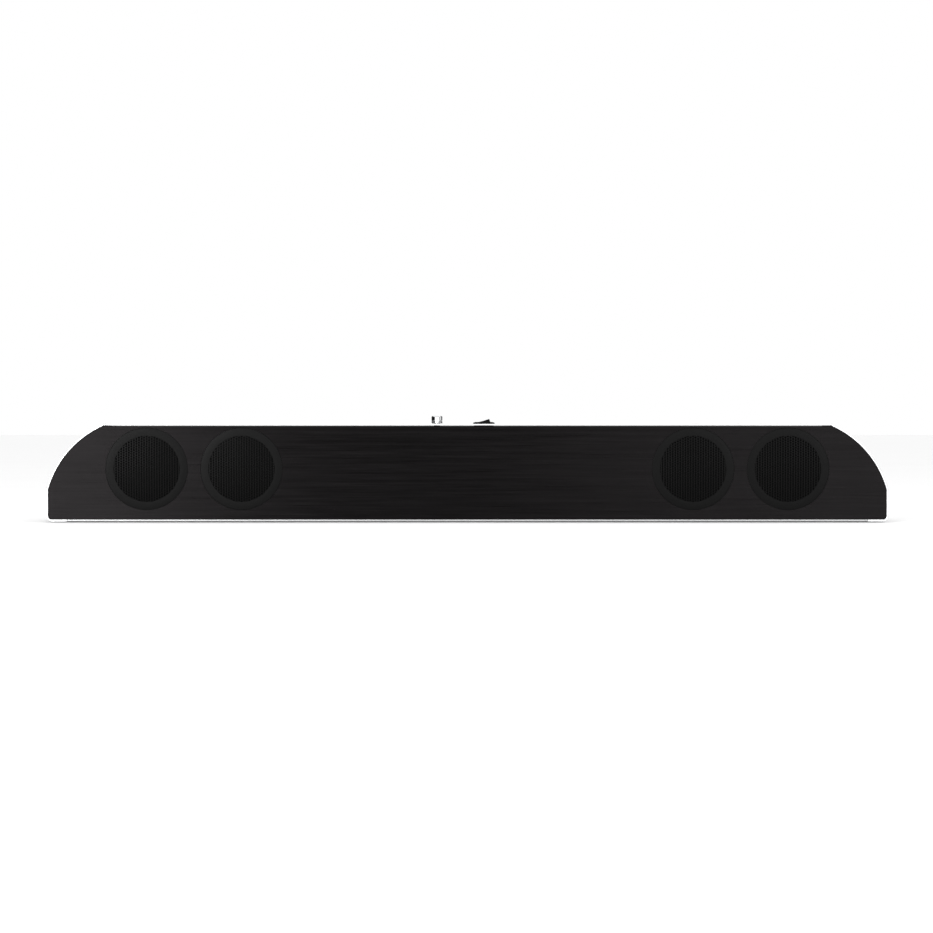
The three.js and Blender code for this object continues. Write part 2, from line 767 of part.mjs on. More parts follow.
function volumeKnob() {
  const radius = knobDiameter / 2;
  const crown = 0.7;
  const boreTop = knobHeight - 1.8;
  const skirtRadius = shaftRadius + fitGap;
  const body = turned(
    [
      [skirtRadius, knobLift],
      [radius, knobLift],
      [radius, knobHeight - crown],
      [radius - crown, knobHeight],
      [0, knobHeight],
      [0, boreTop],
      [skirtRadius, boreTop],
    ],
    fineSegments,
  );
  const pointerWidth = 0.9;
  const pointer = block(
    [-pointerWidth / 2, pointerWidth / 2],
    [-radius - over, -radius * 0.35],
    [knobHeight - 0.5, knobHeight + over],
  );
  return cut(body, pointer);
}

const knobGroup = new THREE.Group();
knobGroup.position.set(knobX, 0, roofTop);
bar.add(knobGroup);
addPiece("volume_knob", volumeKnob(), chrome, knobGroup);
const shaftStart = boardTop + 6.5 + fitGap;
const shaft = rodOnZ(shaftRadius, shaftStart - roofTop, knobHeight - 1.8 - fitGap, plainSegments);
addPiece("volume_shaft", shaft, bareAluminium, knobGroup);
addPiece("control_board", controlBoard(), circuitBoard).position.set(knobX, 0, 0);

// Rocker switch: a snap-in body with two blade terminals, and a rocker on a pivot along Y.
const cavityDepth = switchBodyDepth - 3;
const pivotRadius = 1.2;

function switchBody() {
  const bezel = block(
    [-bezelLength / 2, bezelLength / 2],
    [-bezelWidth / 2, bezelWidth / 2],
    [fitGap, bezelHeight],
  );
  const body = block(
    [-switchBodyLength / 2, switchBodyLength / 2],
    [-switchBodyWidth / 2, switchBodyWidth / 2],
    [-switchBodyDepth, fitGap + 0.5],
  );
  const cavity = block(
    [-windowLength / 2, windowLength / 2],
    [-windowWidth / 2, windowWidth / 2],
    [-cavityDepth, bezelHeight + over],
  );
  const pivotReach = windowWidth / 2 + 0.6;
  const pivotSeat = rodOnY(pivotRadius + fitGap, -pivotReach, pivotReach, smallSegments);
  const blades = [-5, 5].map((x) =>
    block([x - 0.4, x + 0.4], [-2.4, 2.4], [-switchBodyDepth - 7, -switchBodyDepth + 1]),
  );
  return cut(join(bezel, body, ...blades), cavity, pivotSeat.translate(0, 0, -rockerPivotDepth));
}

// The rocker, drawn level about its pivot: two faces that fall towards the middle.
function rocker() {
  const half = rockerLength / 2;
  const valley = bezelHeight + rockerRise + rockerPivotDepth;
  const crest = valley + half * Math.tan(THREE.MathUtils.degToRad(rockerDish));
  const shape = new THREE.Shape(
    [
      [0, valley],
      [half, crest],
      [half + 0.7, 2],
      [half + 0.6, -1],
      [half - 1.5, -5],
      [half - 4.5, -7],
      [4.5 - half, -7],
      [1.5 - half, -5],
      [-half - 0.6, -1],
      [-half - 0.7, 2],
      [-half, crest],
    ]
      .map(([x, z]) => new THREE.Vector2(x, z))
      .reverse(),
  );
  const body = slab(shape, -rockerWidth / 2, rockerWidth / 2);
  const pivotReach = windowWidth / 2 + fitGap;
  return join(body, rodOnY(pivotRadius, -pivotReach, pivotReach, smallSegments));
}

const switchGroup = new THREE.Group();
switchGroup.position.set(switchX, 0, roofTop);
bar.add(switchGroup);
addPiece("switch_body", switchBody(), blackPlastic, switchGroup);
const rockerMesh = addPiece("power_rocker", rocker(), blackPlastic, switchGroup);
rockerMesh.position.z = -rockerPivotDepth;
rockerMesh.rotation.y = THREE.MathUtils.degToRad(-rockerTilt); // its right side stands up

// ---------- Amplifier and drivers' leads ----------

const boardZ = floorTop + fitGap + boardStandoff;
const boardY = baffleBack + 5 + boardWidth / 2;

// Amplifier board with its standoffs, capacitors, chokes and lead connectors.
const leadConnectorX = boardLength / 2 - 6;
function amplifierBoard() {
  const boardFace = boardZ + boardThickness;
  const standing = (x, y, width, depth, height) =>
    block([x - width / 2, x + width / 2], [y - depth / 2, y + depth / 2], [boardFace - 0.5, boardFace + height]);
  const parts = [-1, 1].flatMap((sign) => [
    rodOnZ(6, boardFace - 0.5, boardFace + 20, smallSegments).translate(sign * 14, -8, 0),
    standing(sign * 32, -9, 12, 12, 8),
    standing(sign * leadConnectorX, leadY - boardY, 8, 10, leadZ - boardFace + leadRadius + 2),
    ...[-1, 1].map((end) =>
      rodOnZ(2.5, floorTop + fitGap, boardZ + 0.5, smallSegments).translate(
        sign * (boardLength / 2 - 5),
        end * (boardWidth / 2 - 4),
        0,
      ),
    ),
  ]);
  const board = block(
    [-boardLength / 2, boardLength / 2],
    [-boardWidth / 2, boardWidth / 2],
    [boardZ, boardFace],
  );
  return join(board, ...parts);
}

// Extruded heat sink with fins, standing on the board.
function heatSink() {
  const length = 70;
  const base = 4;
  const finHeight = 12;
  const fins = 7;
  const bottom = boardZ + boardThickness + fitGap;
  const pitch = length / (fins - 0.5);
  const y = boardWidth / 2 - 8;
  const plate = block([-length / 2, length / 2], [y - 6, y + 6], [bottom, bottom + base]);
  const blades = Array.from({ length: fins }, (_, fin) => {
    const x = -length / 2 + fin * pitch;
    return block([x, x + pitch / 2], [y - 6, y + 6], [bottom + base - 0.5, bottom + base + finHeight]);
  });
  return join(plate, ...blades);
}

const amplifier = new THREE.Group();
amplifier.position.y = boardY;
bar.add(amplifier);
addPiece("amplifier_board", amplifierBoard(), circuitBoard, amplifier);
addPiece("heat_sink", heatSink(), bareAluminium, amplifier);

// One lead a side: from the board, through the bulkhead, past the inner driver to the outer one.
function driverLead(sign) {
  const slack = 5;
  const route = [
    [leadConnectorX + 4 + fitGap, 0],
    [bulkheadX - 14, 0],
    [bulkheadX + 14, 0],
    [innerDriverX - 12, 0],
    [innerDriverX + 12, 0],
    [hangerX, -slack],
    [outerDriverX - 12, 0],
    [outerDriverX + 6, 0],
  ].map(([x, dz]) => new THREE.Vector3(sign * x, leadY, leadZ + dz));
  const section = new THREE.Shape().absarc(0, 0, leadRadius, 0, 2 * Math.PI, false);
  return new THREE.ExtrudeGeometry(section, {
    extrudePath: new THREE.CatmullRomCurve3(route),
    steps: 26,
    curveSegments: 3,
    bevelEnabled: false,
  });
}
for (const { name, sign } of sides) addPiece(`driver_lead_${name}`, driverLead(sign), cableJacket);

export default bar;
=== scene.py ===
import json
import math

import bmesh
import bpy
from mathutils import Matrix, Vector
from mathutils.geometry import delaunay_2d_cdt


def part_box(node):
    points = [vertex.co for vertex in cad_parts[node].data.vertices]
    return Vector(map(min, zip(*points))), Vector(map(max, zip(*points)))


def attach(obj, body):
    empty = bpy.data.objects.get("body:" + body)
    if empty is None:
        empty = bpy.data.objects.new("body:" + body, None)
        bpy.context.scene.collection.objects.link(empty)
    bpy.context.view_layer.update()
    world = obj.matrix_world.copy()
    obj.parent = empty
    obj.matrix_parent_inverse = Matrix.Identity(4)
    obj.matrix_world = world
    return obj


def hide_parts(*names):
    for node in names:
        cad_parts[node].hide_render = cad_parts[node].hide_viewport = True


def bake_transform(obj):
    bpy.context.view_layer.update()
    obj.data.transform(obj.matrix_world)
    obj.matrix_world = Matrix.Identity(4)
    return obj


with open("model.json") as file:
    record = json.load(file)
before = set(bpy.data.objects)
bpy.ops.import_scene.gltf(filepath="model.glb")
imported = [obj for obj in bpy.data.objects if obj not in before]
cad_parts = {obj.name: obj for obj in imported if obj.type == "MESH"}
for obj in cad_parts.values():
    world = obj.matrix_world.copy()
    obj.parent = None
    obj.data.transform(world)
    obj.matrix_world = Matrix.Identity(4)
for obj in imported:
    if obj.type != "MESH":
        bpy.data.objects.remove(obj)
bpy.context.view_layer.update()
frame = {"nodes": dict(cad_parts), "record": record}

mm = 0.001
sides = {"left": -1, "right": 1}
driverNames = ["left_outer", "left_inner", "right_inner", "right_outer"]


def box(node):
    # a CAD node's two corners in millimetres, as every piece is drawn
    return [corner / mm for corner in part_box(node)]


def span(node):
    # its middle and its size
    low, high = box(node)
    return (low + high) / 2, high - low


# ---- shader helpers ----

class Flow:
    # a node's socket that takes part in sums
    def __init__(self, paint, socket):
        self.paint, self.socket = paint, socket

    def math(self, operation, *others):
        return self.paint.add("ShaderNodeMath", {"operation": operation}, *[self, *others])

    def __add__(self, other):
        return self.math("ADD", other)

    def __mul__(self, other):
        return self.math("MULTIPLY", other)

    def __sub__(self, other):
        return self.math("SUBTRACT", other)

    def __rsub__(self, other):
        return self.paint.add("ShaderNodeMath", {"operation": "SUBTRACT"}, other, self)


class Paint:
    # nodes of a procedural material, or of the world if one is given
    def __init__(self, name, world=None):
        self.material = world or bpy.data.materials.new(name)
        self.material.use_nodes = True
        self.tree = self.material.node_tree
        self.tree.nodes.clear()
        if world is None:
            self.place = self.add("ShaderNodeTexCoord", output="Object")

    def add(self, kind, settings=None, *values, output=None, **named):
        node = self.tree.nodes.new(kind)
        for key, value in (settings or {}).items():
            if key == "stops":
                self.setStops(node.color_ramp, value)
            else:
                setattr(node, key, value)
        for index, value in enumerate(values):
            self.feed(node.inputs[index], value)
        for key, value in named.items():
            wanted = key.replace("_", " ")
            found = [s for s in node.inputs if s.identifier == key or (s.name == wanted and s.enabled)]
            self.feed(found[0], value)
        fitting = [s for s in node.outputs if s.enabled and output in (None, s.identifier, s.name)]
        return Flow(self, fitting[0]) if fitting else None

    def feed(self, socket, value):
        if isinstance(value, Flow):
            self.tree.links.new(value.socket, socket)
        else:
            socket.default_value = value

    def setStops(self, ramp, stops):
        while len(ramp.elements) > 1:
            ramp.elements.remove(ramp.elements[-1])
        for index, (position, shade) in enumerate(stops):
            stop = ramp.elements[0] if index == 0 else ramp.elements.new(position)
            stop.position = position
            stop.color = (*shade, 1) if isinstance(shade, tuple) else (shade, shade, shade, 1)

    def stretched(self, x, y, z):
        # object coordinates, counted in x, y and z to the metre
        return self.add("ShaderNodeVectorMath", {"operation": "MULTIPLY"}, self.place, (x, y, z))

    def noise(self, vector, scale=1.0, detail=2.0, roughness=0.5):
        return self.add("ShaderNodeTexNoise", None, Vector=vector, Scale=scale, Detail=detail,
                        Roughness=roughness)

    def ramp(self, factor, *stops):
        return self.add("ShaderNodeValToRGB", {"stops": stops}, Fac=factor, output="Color")

    def spread(self, factor, low, high, fromLow=0.0, fromHigh=1.0):
        # a value moved from one range to another
        return self.add("ShaderNodeMapRange", None, factor, fromLow, fromHigh, low, high)

    def mix(self, factor, first, second):
        return self.add("ShaderNodeMix", {"data_type": "RGBA"}, Factor_Float=factor, A_Color=first,
                        B_Color=second, output="Result_Color")

    def bump(self, height, depth, strength=1.0):
        return self.add("ShaderNodeBump", None, Strength=strength, Distance=depth, Height=height)

    def finish(self, **inputs):
        shader = self.add("ShaderNodeBsdfPrincipled", None, **inputs)
        self.add("ShaderNodeOutputMaterial", None, Surface=shader)
        return self.material


def tinted(shade, tint=(1, 1, 1)):
    return tuple(shade * t for t in tint)


# ---- finishes ----

blackAnodisedLook = {
    "shade": 0.0078, "tint": (1.0, 0.93, 0.96), "streakPerMetre": 1500, "streakLength": 0.045,
    "roughness": 0.31,
}


def blackAnodised():
    look = blackAnodisedLook
    p = Paint("blackAnodised")
    fine = p.noise(p.stretched(1 / look["streakLength"], 40, look["streakPerMetre"]), 1, 3, 0.65)
    broad = p.noise(p.stretched(6, 6, 420), 1, 2, 0.5)
    cloud = p.noise(p.place, 22, 2, 0.5)
    streak = fine * 0.62 + broad * 0.38
    shade, tint, roughness = look["shade"], look["tint"], look["roughness"]
    color = p.ramp(streak, (0.28, tinted(shade * 0.62, tint)), (0.5, tinted(shade, tint)),
                   (0.74, tinted(shade * 1.55, tint)))
    rough = p.spread(streak, roughness - 0.07, roughness + 0.09, 0.25, 0.75) + (cloud - 0.5) * 0.05
    return p.finish(Base_Color=color, Metallic=1.0, Roughness=rough, Anisotropic=0.88,
                    Anisotropic_Rotation=0.25, Normal=p.bump(fine, 0.00002, 0.35))


silverLook = {"tint": (0.985, 0.99, 1.0), "grainPerMetre": 5200, "roughness": 0.34}


def silverAnodised(name, shade):
    look = silverLook
    p = Paint(name)
    grain = p.noise(p.place, look["grainPerMetre"], 2, 0.6)
    cloud = p.noise(p.place, 16, 3, 0.55)
    drawn = p.noise(p.stretched(14, 14, 900), 1, 2, 0.5)
    color = p.ramp(grain * 0.6 + cloud * 0.4, (0.3, tinted(shade * 0.9, look["tint"])),
                   (0.7, tinted(shade * 1.04, look["tint"])))
    roughness = look["roughness"]
    rough = p.spread(grain, roughness - 0.05, roughness + 0.08, 0.3, 0.7) + (cloud - 0.5) * 0.08
    return p.finish(Base_Color=color, Metallic=1.0, Roughness=rough,
                    Normal=p.bump(grain * 0.7 + drawn * 0.3, 0.000012, 0.4))


def powderCoat(name, shade, roughness, grainPerMetre=2600, depth=0.00003, shine=0.24):
    # matt paint with the fine orange peel of a powder coat
    p = Paint(name)
    peel = p.noise(p.place, grainPerMetre, 2, 0.55)
    speck = p.add("ShaderNodeTexVoronoi", {"feature": "F1"}, Vector=p.place, Scale=grainPerMetre * 0.6,
                  output="Distance")
    dust = p.noise(p.place, 30, 3, 0.6)
    color = p.ramp(dust * 0.5 + peel * 0.5, (0.3, shade * 0.75), (0.7, shade * 1.3))
    rough = p.spread(speck, roughness - 0.06, roughness + 0.08, 0.0, 0.8) + (dust - 0.5) * 0.08
    return p.finish(Base_Color=color, Metallic=0.0, Roughness=rough, Specular_IOR_Level=shine,
                    Normal=p.bump(peel * 0.7 + speck * 0.3, depth, 0.5))


def mouldedPlastic(name, shade, roughness=0.42, tint=(1, 1, 1), shine=0.5):
    # spark-eroded mould grain
    p = Paint(name)
    grain = p.add("ShaderNodeTexVoronoi", {"feature": "SMOOTH_F1"}, Vector=p.place, Scale=3800,
                  output="Distance")
    flow = p.noise(p.place, 60, 3, 0.6)
    color = p.ramp(flow, (0.3, tinted(shade * 0.85, tint)), (0.7, tinted(shade * 1.15, tint)))
    rough = p.spread(grain, roughness - 0.05, roughness + 0.07, 0.0, 0.7) + (flow - 0.5) * 0.06
    return p.finish(Base_Color=color, Metallic=0.0, Roughness=rough, Specular_IOR_Level=shine,
                    Normal=p.bump(grain, 0.00002, 0.45))


def plated(name, shade, roughness, tint, blotch, ringsPerMetre=0):
    # plated or bare metal, with faint blotches and, if asked, turning marks along Z
    p = Paint(name)
    haze = p.noise(p.place, 240, 4, 0.65)
    height = p.noise(p.place, 5200, 2, 0.5)
    if ringsPerMetre:
        height = height * 0.4 + p.noise(p.stretched(8, 8, ringsPerMetre), 1, 1, 0.5) * 0.6
    color = p.ramp(haze, (0.3, tinted(shade * (1 - blotch), tint)), (0.7, tinted(shade, tint)))
    rough = p.spread(haze, roughness * 0.8, roughness * 1.3, 0.3, 0.7)
    return p.finish(Base_Color=color, Metallic=1.0, Roughness=rough, Normal=p.bump(height, 0.000008, 0.3))


def mattRubber(name, shade):
    p = Paint(name)
    fine = p.noise(p.place, 4200, 3, 0.6)
    bloom = p.noise(p.place, 130, 3, 0.6)
    color = p.ramp(bloom, (0.3, shade * 0.8), (0.75, shade * 1.6))
    rough = p.spread(bloom, 0.62, 0.8, 0.3, 0.7)
    return p.finish(Base_Color=color, Roughness=rough, Specular_IOR_Level=0.1,
                    Normal=p.bump(fine, 0.00003, 0.5))


def pressedPaper():
    # fibres lie every way in the pulp
    p = Paint("conePaper")
    fibre = p.noise(p.place, 900, 6, 0.75)
    pulp = p.noise(p.place, 160, 3, 0.6)
    color = p.ramp(fibre * 0.6 + pulp * 0.4, (0.3, 0.002), (0.7, (0.0065, 0.0064, 0.0062)))
    rough = p.spread(fibre, 0.72, 0.9, 0.3, 0.7)
    return p.finish(Base_Color=color, Roughness=rough, Specular_IOR_Level=0.1,
                    Normal=p.bump(fibre, 0.0001, 0.6))


def wovenShadeCloth():
    p = Paint("shadeCloth")
    weave = p.noise(p.place, 2600, 2, 0.5)
    # near-black weave: painted shade for the dark inside the grille
    return p.finish(Base_Color=p.ramp(weave, (0.35, 0.0006), (0.65, 0.0016)), Metallic=0.0, Roughness=0.95,
                    Specular_IOR_Level=0.03, Normal=p.bump(weave, 0.00003, 0.4))


def sinteredFerrite(ringBack, ringFront):
    # a dark ceramic ring between two zinc-plated steel plates, told apart by their depth
    p = Paint("ferrite")
    depth = p.add("ShaderNodeSeparateXYZ", None, p.place, output="Y")
    inRing = depth.math("GREATER_THAN", ringFront) * depth.math("LESS_THAN", ringBack)
    grit = p.noise(p.place, 1500, 4, 0.7)
    stone = p.ramp(grit, (0.3, (0.02, 0.019, 0.018)), (0.7, (0.055, 0.052, 0.05)))
    zinc = p.ramp(p.noise(p.place, 260, 3, 0.6), (0.3, (0.42, 0.43, 0.42)), (0.7, (0.62, 0.62, 0.6)))
    rough = p.spread(grit, 0.3, 0.42, 0.3, 0.7) + inRing * 0.42
    return p.finish(Base_Color=p.mix(inRing, zinc, stone), Metallic=1 - inRing, Roughness=rough,
                    Normal=p.bump(grit, 0.00004, 0.4))


def woundCopper():
    p = Paint("copperWinding")
    turns = p.add("ShaderNodeTexWave", {"wave_type": "BANDS", "bands_direction": "Y", "wave_profile": "SIN"},
                  Vector=p.place, Scale=520, Distortion=0.4, Detail=1)
    color = p.mix(turns, (0.28, 0.09, 0.03, 1), (0.72, 0.33, 0.15, 1))
    return p.finish(Base_Color=color, Metallic=1.0, Roughness=p.spread(turns, 0.45, 0.25),
                    Normal=p.bump(turns, 0.0001, 0.6))


def fibreBoard():
    p = Paint("fibreboard")
    felt = p.noise(p.place, 700, 6, 0.75)
    fleck = p.noise(p.place, 2400, 2, 0.6)
    color = p.ramp(felt * 0.65 + fleck * 0.35, (0.3, (0.17, 0.1, 0.05)), (0.52, (0.27, 0.17, 0.09)),
                   (0.75, (0.4, 0.27, 0.15)))
    return p.finish(Base_Color=color, Roughness=p.spread(felt, 0.78, 0.95, 0.3, 0.7), Specular_IOR_Level=0.3,
                    Normal=p.bump(felt, 0.00012, 0.5))


def solderMask():
    # green mask with copper tracks below it
    p = Paint("circuitBoard")
    tracks = p.add("ShaderNodeTexBrick", {"offset": 0.37, "squash": 1.6}, Vector=p.place, Scale=95,
                   Mortar_Size=0.03, Color1=(0.008, 0.085, 0.03, 1), Color2=(0.01, 0.11, 0.04, 1),
                   Mortar=(0.03, 0.2, 0.07, 1), output="Color")
    dirt = p.noise(p.place, 90, 3, 0.6)
    color = p.mix(p.spread(dirt, 0.0, 0.35, 0.4, 0.8), tracks, (0.006, 0.05, 0.02, 1))
    return p.finish(Base_Color=color, Roughness=p.spread(dirt, 0.28, 0.45, 0.3, 0.7),
                    Normal=p.bump(p.noise(p.place, 1200, 2, 0.5), 0.00003, 0.4))


magnetLow, magnetHigh = box("magnet_left_outer")
magnetPlates = {"front": 6.3, "back": 4}  # from the pole's tip to the ferrite, and from it to the end

finishes = {
    "silver_anodised": silverAnodised("silverAnodised", 0.55),
    "black_anodised": blackAnodised(),
    "black_painted_steel": powderCoat("blackPowder", 0.0025, 0.42, shine=0.13),
    "black_plastic": mouldedPlastic("blackPlastic", 0.0022, shine=0.045),
    "chrome_plate": plated("chromePlate", 0.7, 0.06, (0.98, 0.99, 1.0), 0.03, 2600),
    "zinc_steel": plated("zincSteel", 0.62, 0.3, (1.0, 1.0, 0.97), 0.18),
    "bare_aluminium": plated("bareAluminium", 0.72, 0.36, (0.99, 0.99, 1.0), 0.1, 1800),
    "ferrite": sinteredFerrite((magnetHigh.y - magnetPlates["back"]) * mm,
                               (magnetLow.y + magnetPlates["front"]) * mm),
    "cone_paper": pressedPaper(),
    "black_rubber": mattRubber("blackRubber", 0.0035),
    "copper": woundCopper(),
    "fibreboard": fibreBoard(),
    "circuit_board": solderMask(),
    "cable_jacket": mouldedPlastic("redVinyl", 0.2, 0.4, (1.0, 0.09, 0.07)),
}
extraFinishes = {
    "whitePrint": mouldedPlastic("whitePrint", 0.72, 0.5),
    "redInsulator": mouldedPlastic("redInsulator", 0.42, 0.35, (1.0, 0.03, 0.03)),
    "whiteInsulator": mouldedPlastic("whiteInsulator", 0.7, 0.35),
    "grilleRing": powderCoat("grilleRing", 0.001, 0.34, 3400, 0.000015, 0.06),
    "grilleMesh": powderCoat("grilleMesh", 0.001, 0.38, 3400, 0.000015, 0.075),
    # a darker copy of the silver for the bottom panel: painted shade, as less light falls under the bar
    "paintedShadeSilver": silverAnodised("paintedShadeSilver", 0.27),
    # the cloth behind the grille holes is near black: painted shade
    "shadeCloth": wovenShadeCloth(),
    "markInk": mouldedPlastic("markInk", 0.2, 0.6),
    # a near-black coat for the baffle: black paint, and painted shade for the gaps and holes that look onto it
    "blackPaintAndShadeBoard": powderCoat("blackPaintAndShadeBoard", 0.012, 0.75, 900, 0.00008),
}
slotOf = {entry["node"]: entry["material_slot"] for entry in frame["record"]["subparts"]}
print("finishes made")

# ---- mesh helpers ----

hair = 0.0001  # points nearer than this are one
standUp = Matrix.Rotation(math.pi / 2, 4, "X")  # what faced up faces front


def linked(name, data):
    thing = bpy.data.objects.new(name, data)
    bpy.context.scene.collection.objects.link(thing)
    return thing


def toMesh(shape, name="shape"):
    bmesh.ops.remove_doubles(shape, verts=shape.verts, dist=hair)
    bmesh.ops.recalc_face_normals(shape, faces=shape.faces)
    mesh = bpy.data.meshes.new(name)
    shape.to_mesh(mesh)
    shape.free()
    return mesh


def copied(mesh, matrix):
    copy = mesh.copy()
    copy.transform(matrix)
    return copy


def addPiece(name, shape, body, nodes, slotName, material=None, sharpAngle=32):
    mesh = toMesh(shape, name) if isinstance(shape, bmesh.types.BMesh) else shape
    mesh.transform(Matrix.Scale(mm, 4))
    flat = [p.index for p in mesh.polygons if not p.use_smooth]
    mesh.set_sharp_from_angle(angle=math.radians(sharpAngle))
    for index in flat:
        mesh.polygons[index].use_smooth = False
    mesh.materials.clear()
    mesh.materials.append(material or finishes[slotName])
    piece = linked(name, mesh)
    if body:
        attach(piece, body)
    if nodes:
        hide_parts(*nodes)
    return piece


def smoothed(shape):
    for face in shape.faces:
        face.smooth = True
    return shape


def shift(x=0, y=0, z=0):
    return Matrix.Translation((x, y, z))


def moved(shape, matrix):
    bmesh.ops.transform(shape, matrix=matrix, verts=shape.verts)
    return shape


def band(shape, one, two):
    # faces between two loops of points
    for k in range(len(one)):
        after = (k + 1) % len(one)
        shape.faces.new((one[k], one[after], two[after], two[k]))


def turned(profile, segments=64, closed=False):
    # a profile of (radius, height) turned about Z; closed joins its last point to its first
    shape = bmesh.new()
    rings = []
    for radius, height in profile:
        ring = [(0, 0)] if radius < hair else circlePoints(0, 0, radius, segments)
        rings.append([shape.verts.new((x, y, height)) for x, y in ring])
    for lower, upper in list(zip(rings, rings[1:])) + ([(rings[-1], rings[0])] if closed else []):
        if len(lower) == len(upper) == segments:
            band(shape, lower, upper)
        elif len(lower) == segments:
            for k in range(segments):
                shape.faces.new((lower[k], lower[(k + 1) % segments], upper[0]))
        elif len(upper) == segments:
            for k in range(segments):
                shape.faces.new((lower[0], upper[(k + 1) % segments], upper[k]))
    return smoothed(shape)


def onY(profile, x=0, z=0, segments=48, closed=False):
    # a profile of (radius, y) turned about a line along Y
    return moved(turned([(r, -y) for r, y in profile], segments, closed), shift(x, 0, z) @ standUp)


def arcPoints(centre, radius, start, end, steps):
    # points of an arc, its angles in degrees
    angles = [math.radians(start + (end - start) * k / steps) for k in range(steps + 1)]
    return [(centre[0] + radius * math.cos(a), centre[1] + radius * math.sin(a)) for a in angles]


def roundCorners(points, radius, steps=5):
    # a closed outline with each corner rounded; radius is one value or one for each corner
    radii = radius if isinstance(radius, list) else [radius] * len(points)
    out = []
    for index, point in enumerate(points):
        here = Vector(point)
        before = Vector(points[index - 1]) - here
        after = Vector(points[(index + 1) % len(points)]) - here
        if radii[index] <= 0:
            out.append(tuple(here))
            continue
        a, b = before.normalized(), after.normalized()
        half = a.angle(b) / 2
        reach = min(radii[index] / math.tan(half), before.length * 0.49, after.length * 0.49)
        r = reach * math.tan(half)
        middle = here + (a + b).normalized() * (r / math.sin(half))
        start, end = here + a * reach - middle, here + b * reach - middle
        first, turn = math.degrees(math.atan2(start.y, start.x)), math.degrees(start.angle_signed(end))
        out += arcPoints(middle, r, first, first - turn, steps)
    return out


def circlePoints(x, y, radius, steps=64):
    return arcPoints((x, y), radius, 0, 360 * (steps - 1) / steps, steps - 1)


def rectanglePoints(x, y, width, height, radius=0.0, steps=5):
    w, h = width / 2, height / 2
    corners = [(x - w, y - h), (x + w, y - h), (x + w, y + h), (x - w, y + h)]
    return roundCorners(corners, radius, steps) if radius else corners


def slab(loops, thickness, bevel, steps=2):
    # flat outlines, the first outside and the others holes, given thickness about Z = 0 with rounded edges
    curve = bpy.data.curves.new("slab", "CURVE")
    curve.dimensions, curve.fill_mode = "2D", "BOTH"
    curve.extrude = thickness / 2 - bevel
    curve.bevel_depth, curve.bevel_resolution = bevel, steps
    curve.offset = -bevel
    for loop in loops:
        spline = curve.splines.new("POLY")
        spline.points.add(len(loop) - 1)
        for point, (x, y) in zip(spline.points, loop):
            point.co = (x, y, 0, 1)
        spline.use_cyclic_u = True
    holder = linked("slab", curve)
    flat = bpy.data.meshes.new_from_object(holder.evaluated_get(bpy.context.evaluated_depsgraph_get()))
    shape = bmesh.new()
    shape.from_mesh(flat)
    bpy.data.objects.remove(holder)
    bpy.data.curves.remove(curve)
    bpy.data.meshes.remove(flat)
    bmesh.ops.remove_doubles(shape, verts=shape.verts, dist=hair * 10)
    shape.normal_update()
    for face in shape.faces:
        face.smooth = abs(face.normal.z) < 0.999  # the broad faces stay flat
    return shape


def wallSlab(loops, y0, y1, bevel, steps=2):
    # outlines in X and Z, from one depth to another
    return moved(slab(loops, abs(y1 - y0), bevel, steps), shift(0, (y0 + y1) / 2, 0) @ standUp)


def joined(*shapes):
    whole = bmesh.new()
    for shape in shapes:
        part = bpy.data.meshes.new("part")
        shape.to_mesh(part)
        shape.free()
        whole.from_mesh(part)
        bpy.data.meshes.remove(part)
    return whole


def carved(shape, *cutters):
    # boolean cuts with the exact solver
    holder = linked("carved", toMesh(shape))
    tools = [linked("cutter", toMesh(cutter)) for cutter in cutters]
    for tool in tools:
        cut = holder.modifiers.new("cut", "BOOLEAN")
        cut.operation, cut.solver, cut.object = "DIFFERENCE", "EXACT", tool
    result = bpy.data.meshes.new_from_object(holder.evaluated_get(bpy.context.evaluated_depsgraph_get()))
    for thing in [holder, *tools]:
        old = thing.data
        bpy.data.objects.remove(thing)
        bpy.data.meshes.remove(old)
    return result


# ---- case ----

roofMiddle, roofSize = span("top_panel")
floorMiddle, floorSize = span("bottom_panel")
plateLow, plateHigh = box("front_plate")
halfLength = box("end_cap_right")[1].x
roofTop = roofMiddle.z + roofSize.z / 2
floorBottom = floorMiddle.z - floorSize.z / 2
depth = roofSize.y
padNames = [n for n in frame["nodes"] if n.startswith("pad_")]

caseLook = {
    "sheet": 1.5, "floorSheet": 2, "shoulderRadius": 97, "shoulderRun": 55, "sideHeight": 31,
    "cornerRadius": 5.8, "edge": 0.28, "arcSteps": 40, "seamGap": 0.3,
}
roofLook = {"knobHole": 3.6, "cutoutLength": 19.4, "cutoutWidth": 13.4, "cutoutCorner": 0.5}
padLook = {"edge": 0.35, "dish": 0.12, "seatGap": 0.3, "seatDepth": 1.2}


def shoulderCentre():
    side = Vector((halfLength, floorBottom + caseLook["sideHeight"]))
    top = Vector((halfLength - caseLook["shoulderRun"], roofTop))
    chord = top - side
    inward = Vector((-chord.y, chord.x)).normalized()
    reach = math.sqrt(caseLook["shoulderRadius"] ** 2 - chord.length_squared / 4)
    return (side + top) / 2 + inward * reach


shoulder = shoulderCentre()


def shoulderArc(inset):
    # the shoulder's curve, upwards, at a distance inside the case's outside
    radius = caseLook["shoulderRadius"] - inset
    side = math.degrees(math.acos((halfLength - inset - shoulder.x) / radius))
    top = math.degrees(math.asin((roofTop - inset - shoulder.y) / radius))
    return arcPoints(shoulder, radius, side, top, caseLook["arcSteps"])


def barOutline(inset, floorInset):
    # the whole bar seen from the front
    corner = caseLook["cornerRadius"] - inset
    right = arcPoints((halfLength - inset - corner, floorBottom + floorInset + corner), corner, -90, 0, 10)
    right += shoulderArc(inset)
    return right + [(-x, z) for x, z in reversed(right)]


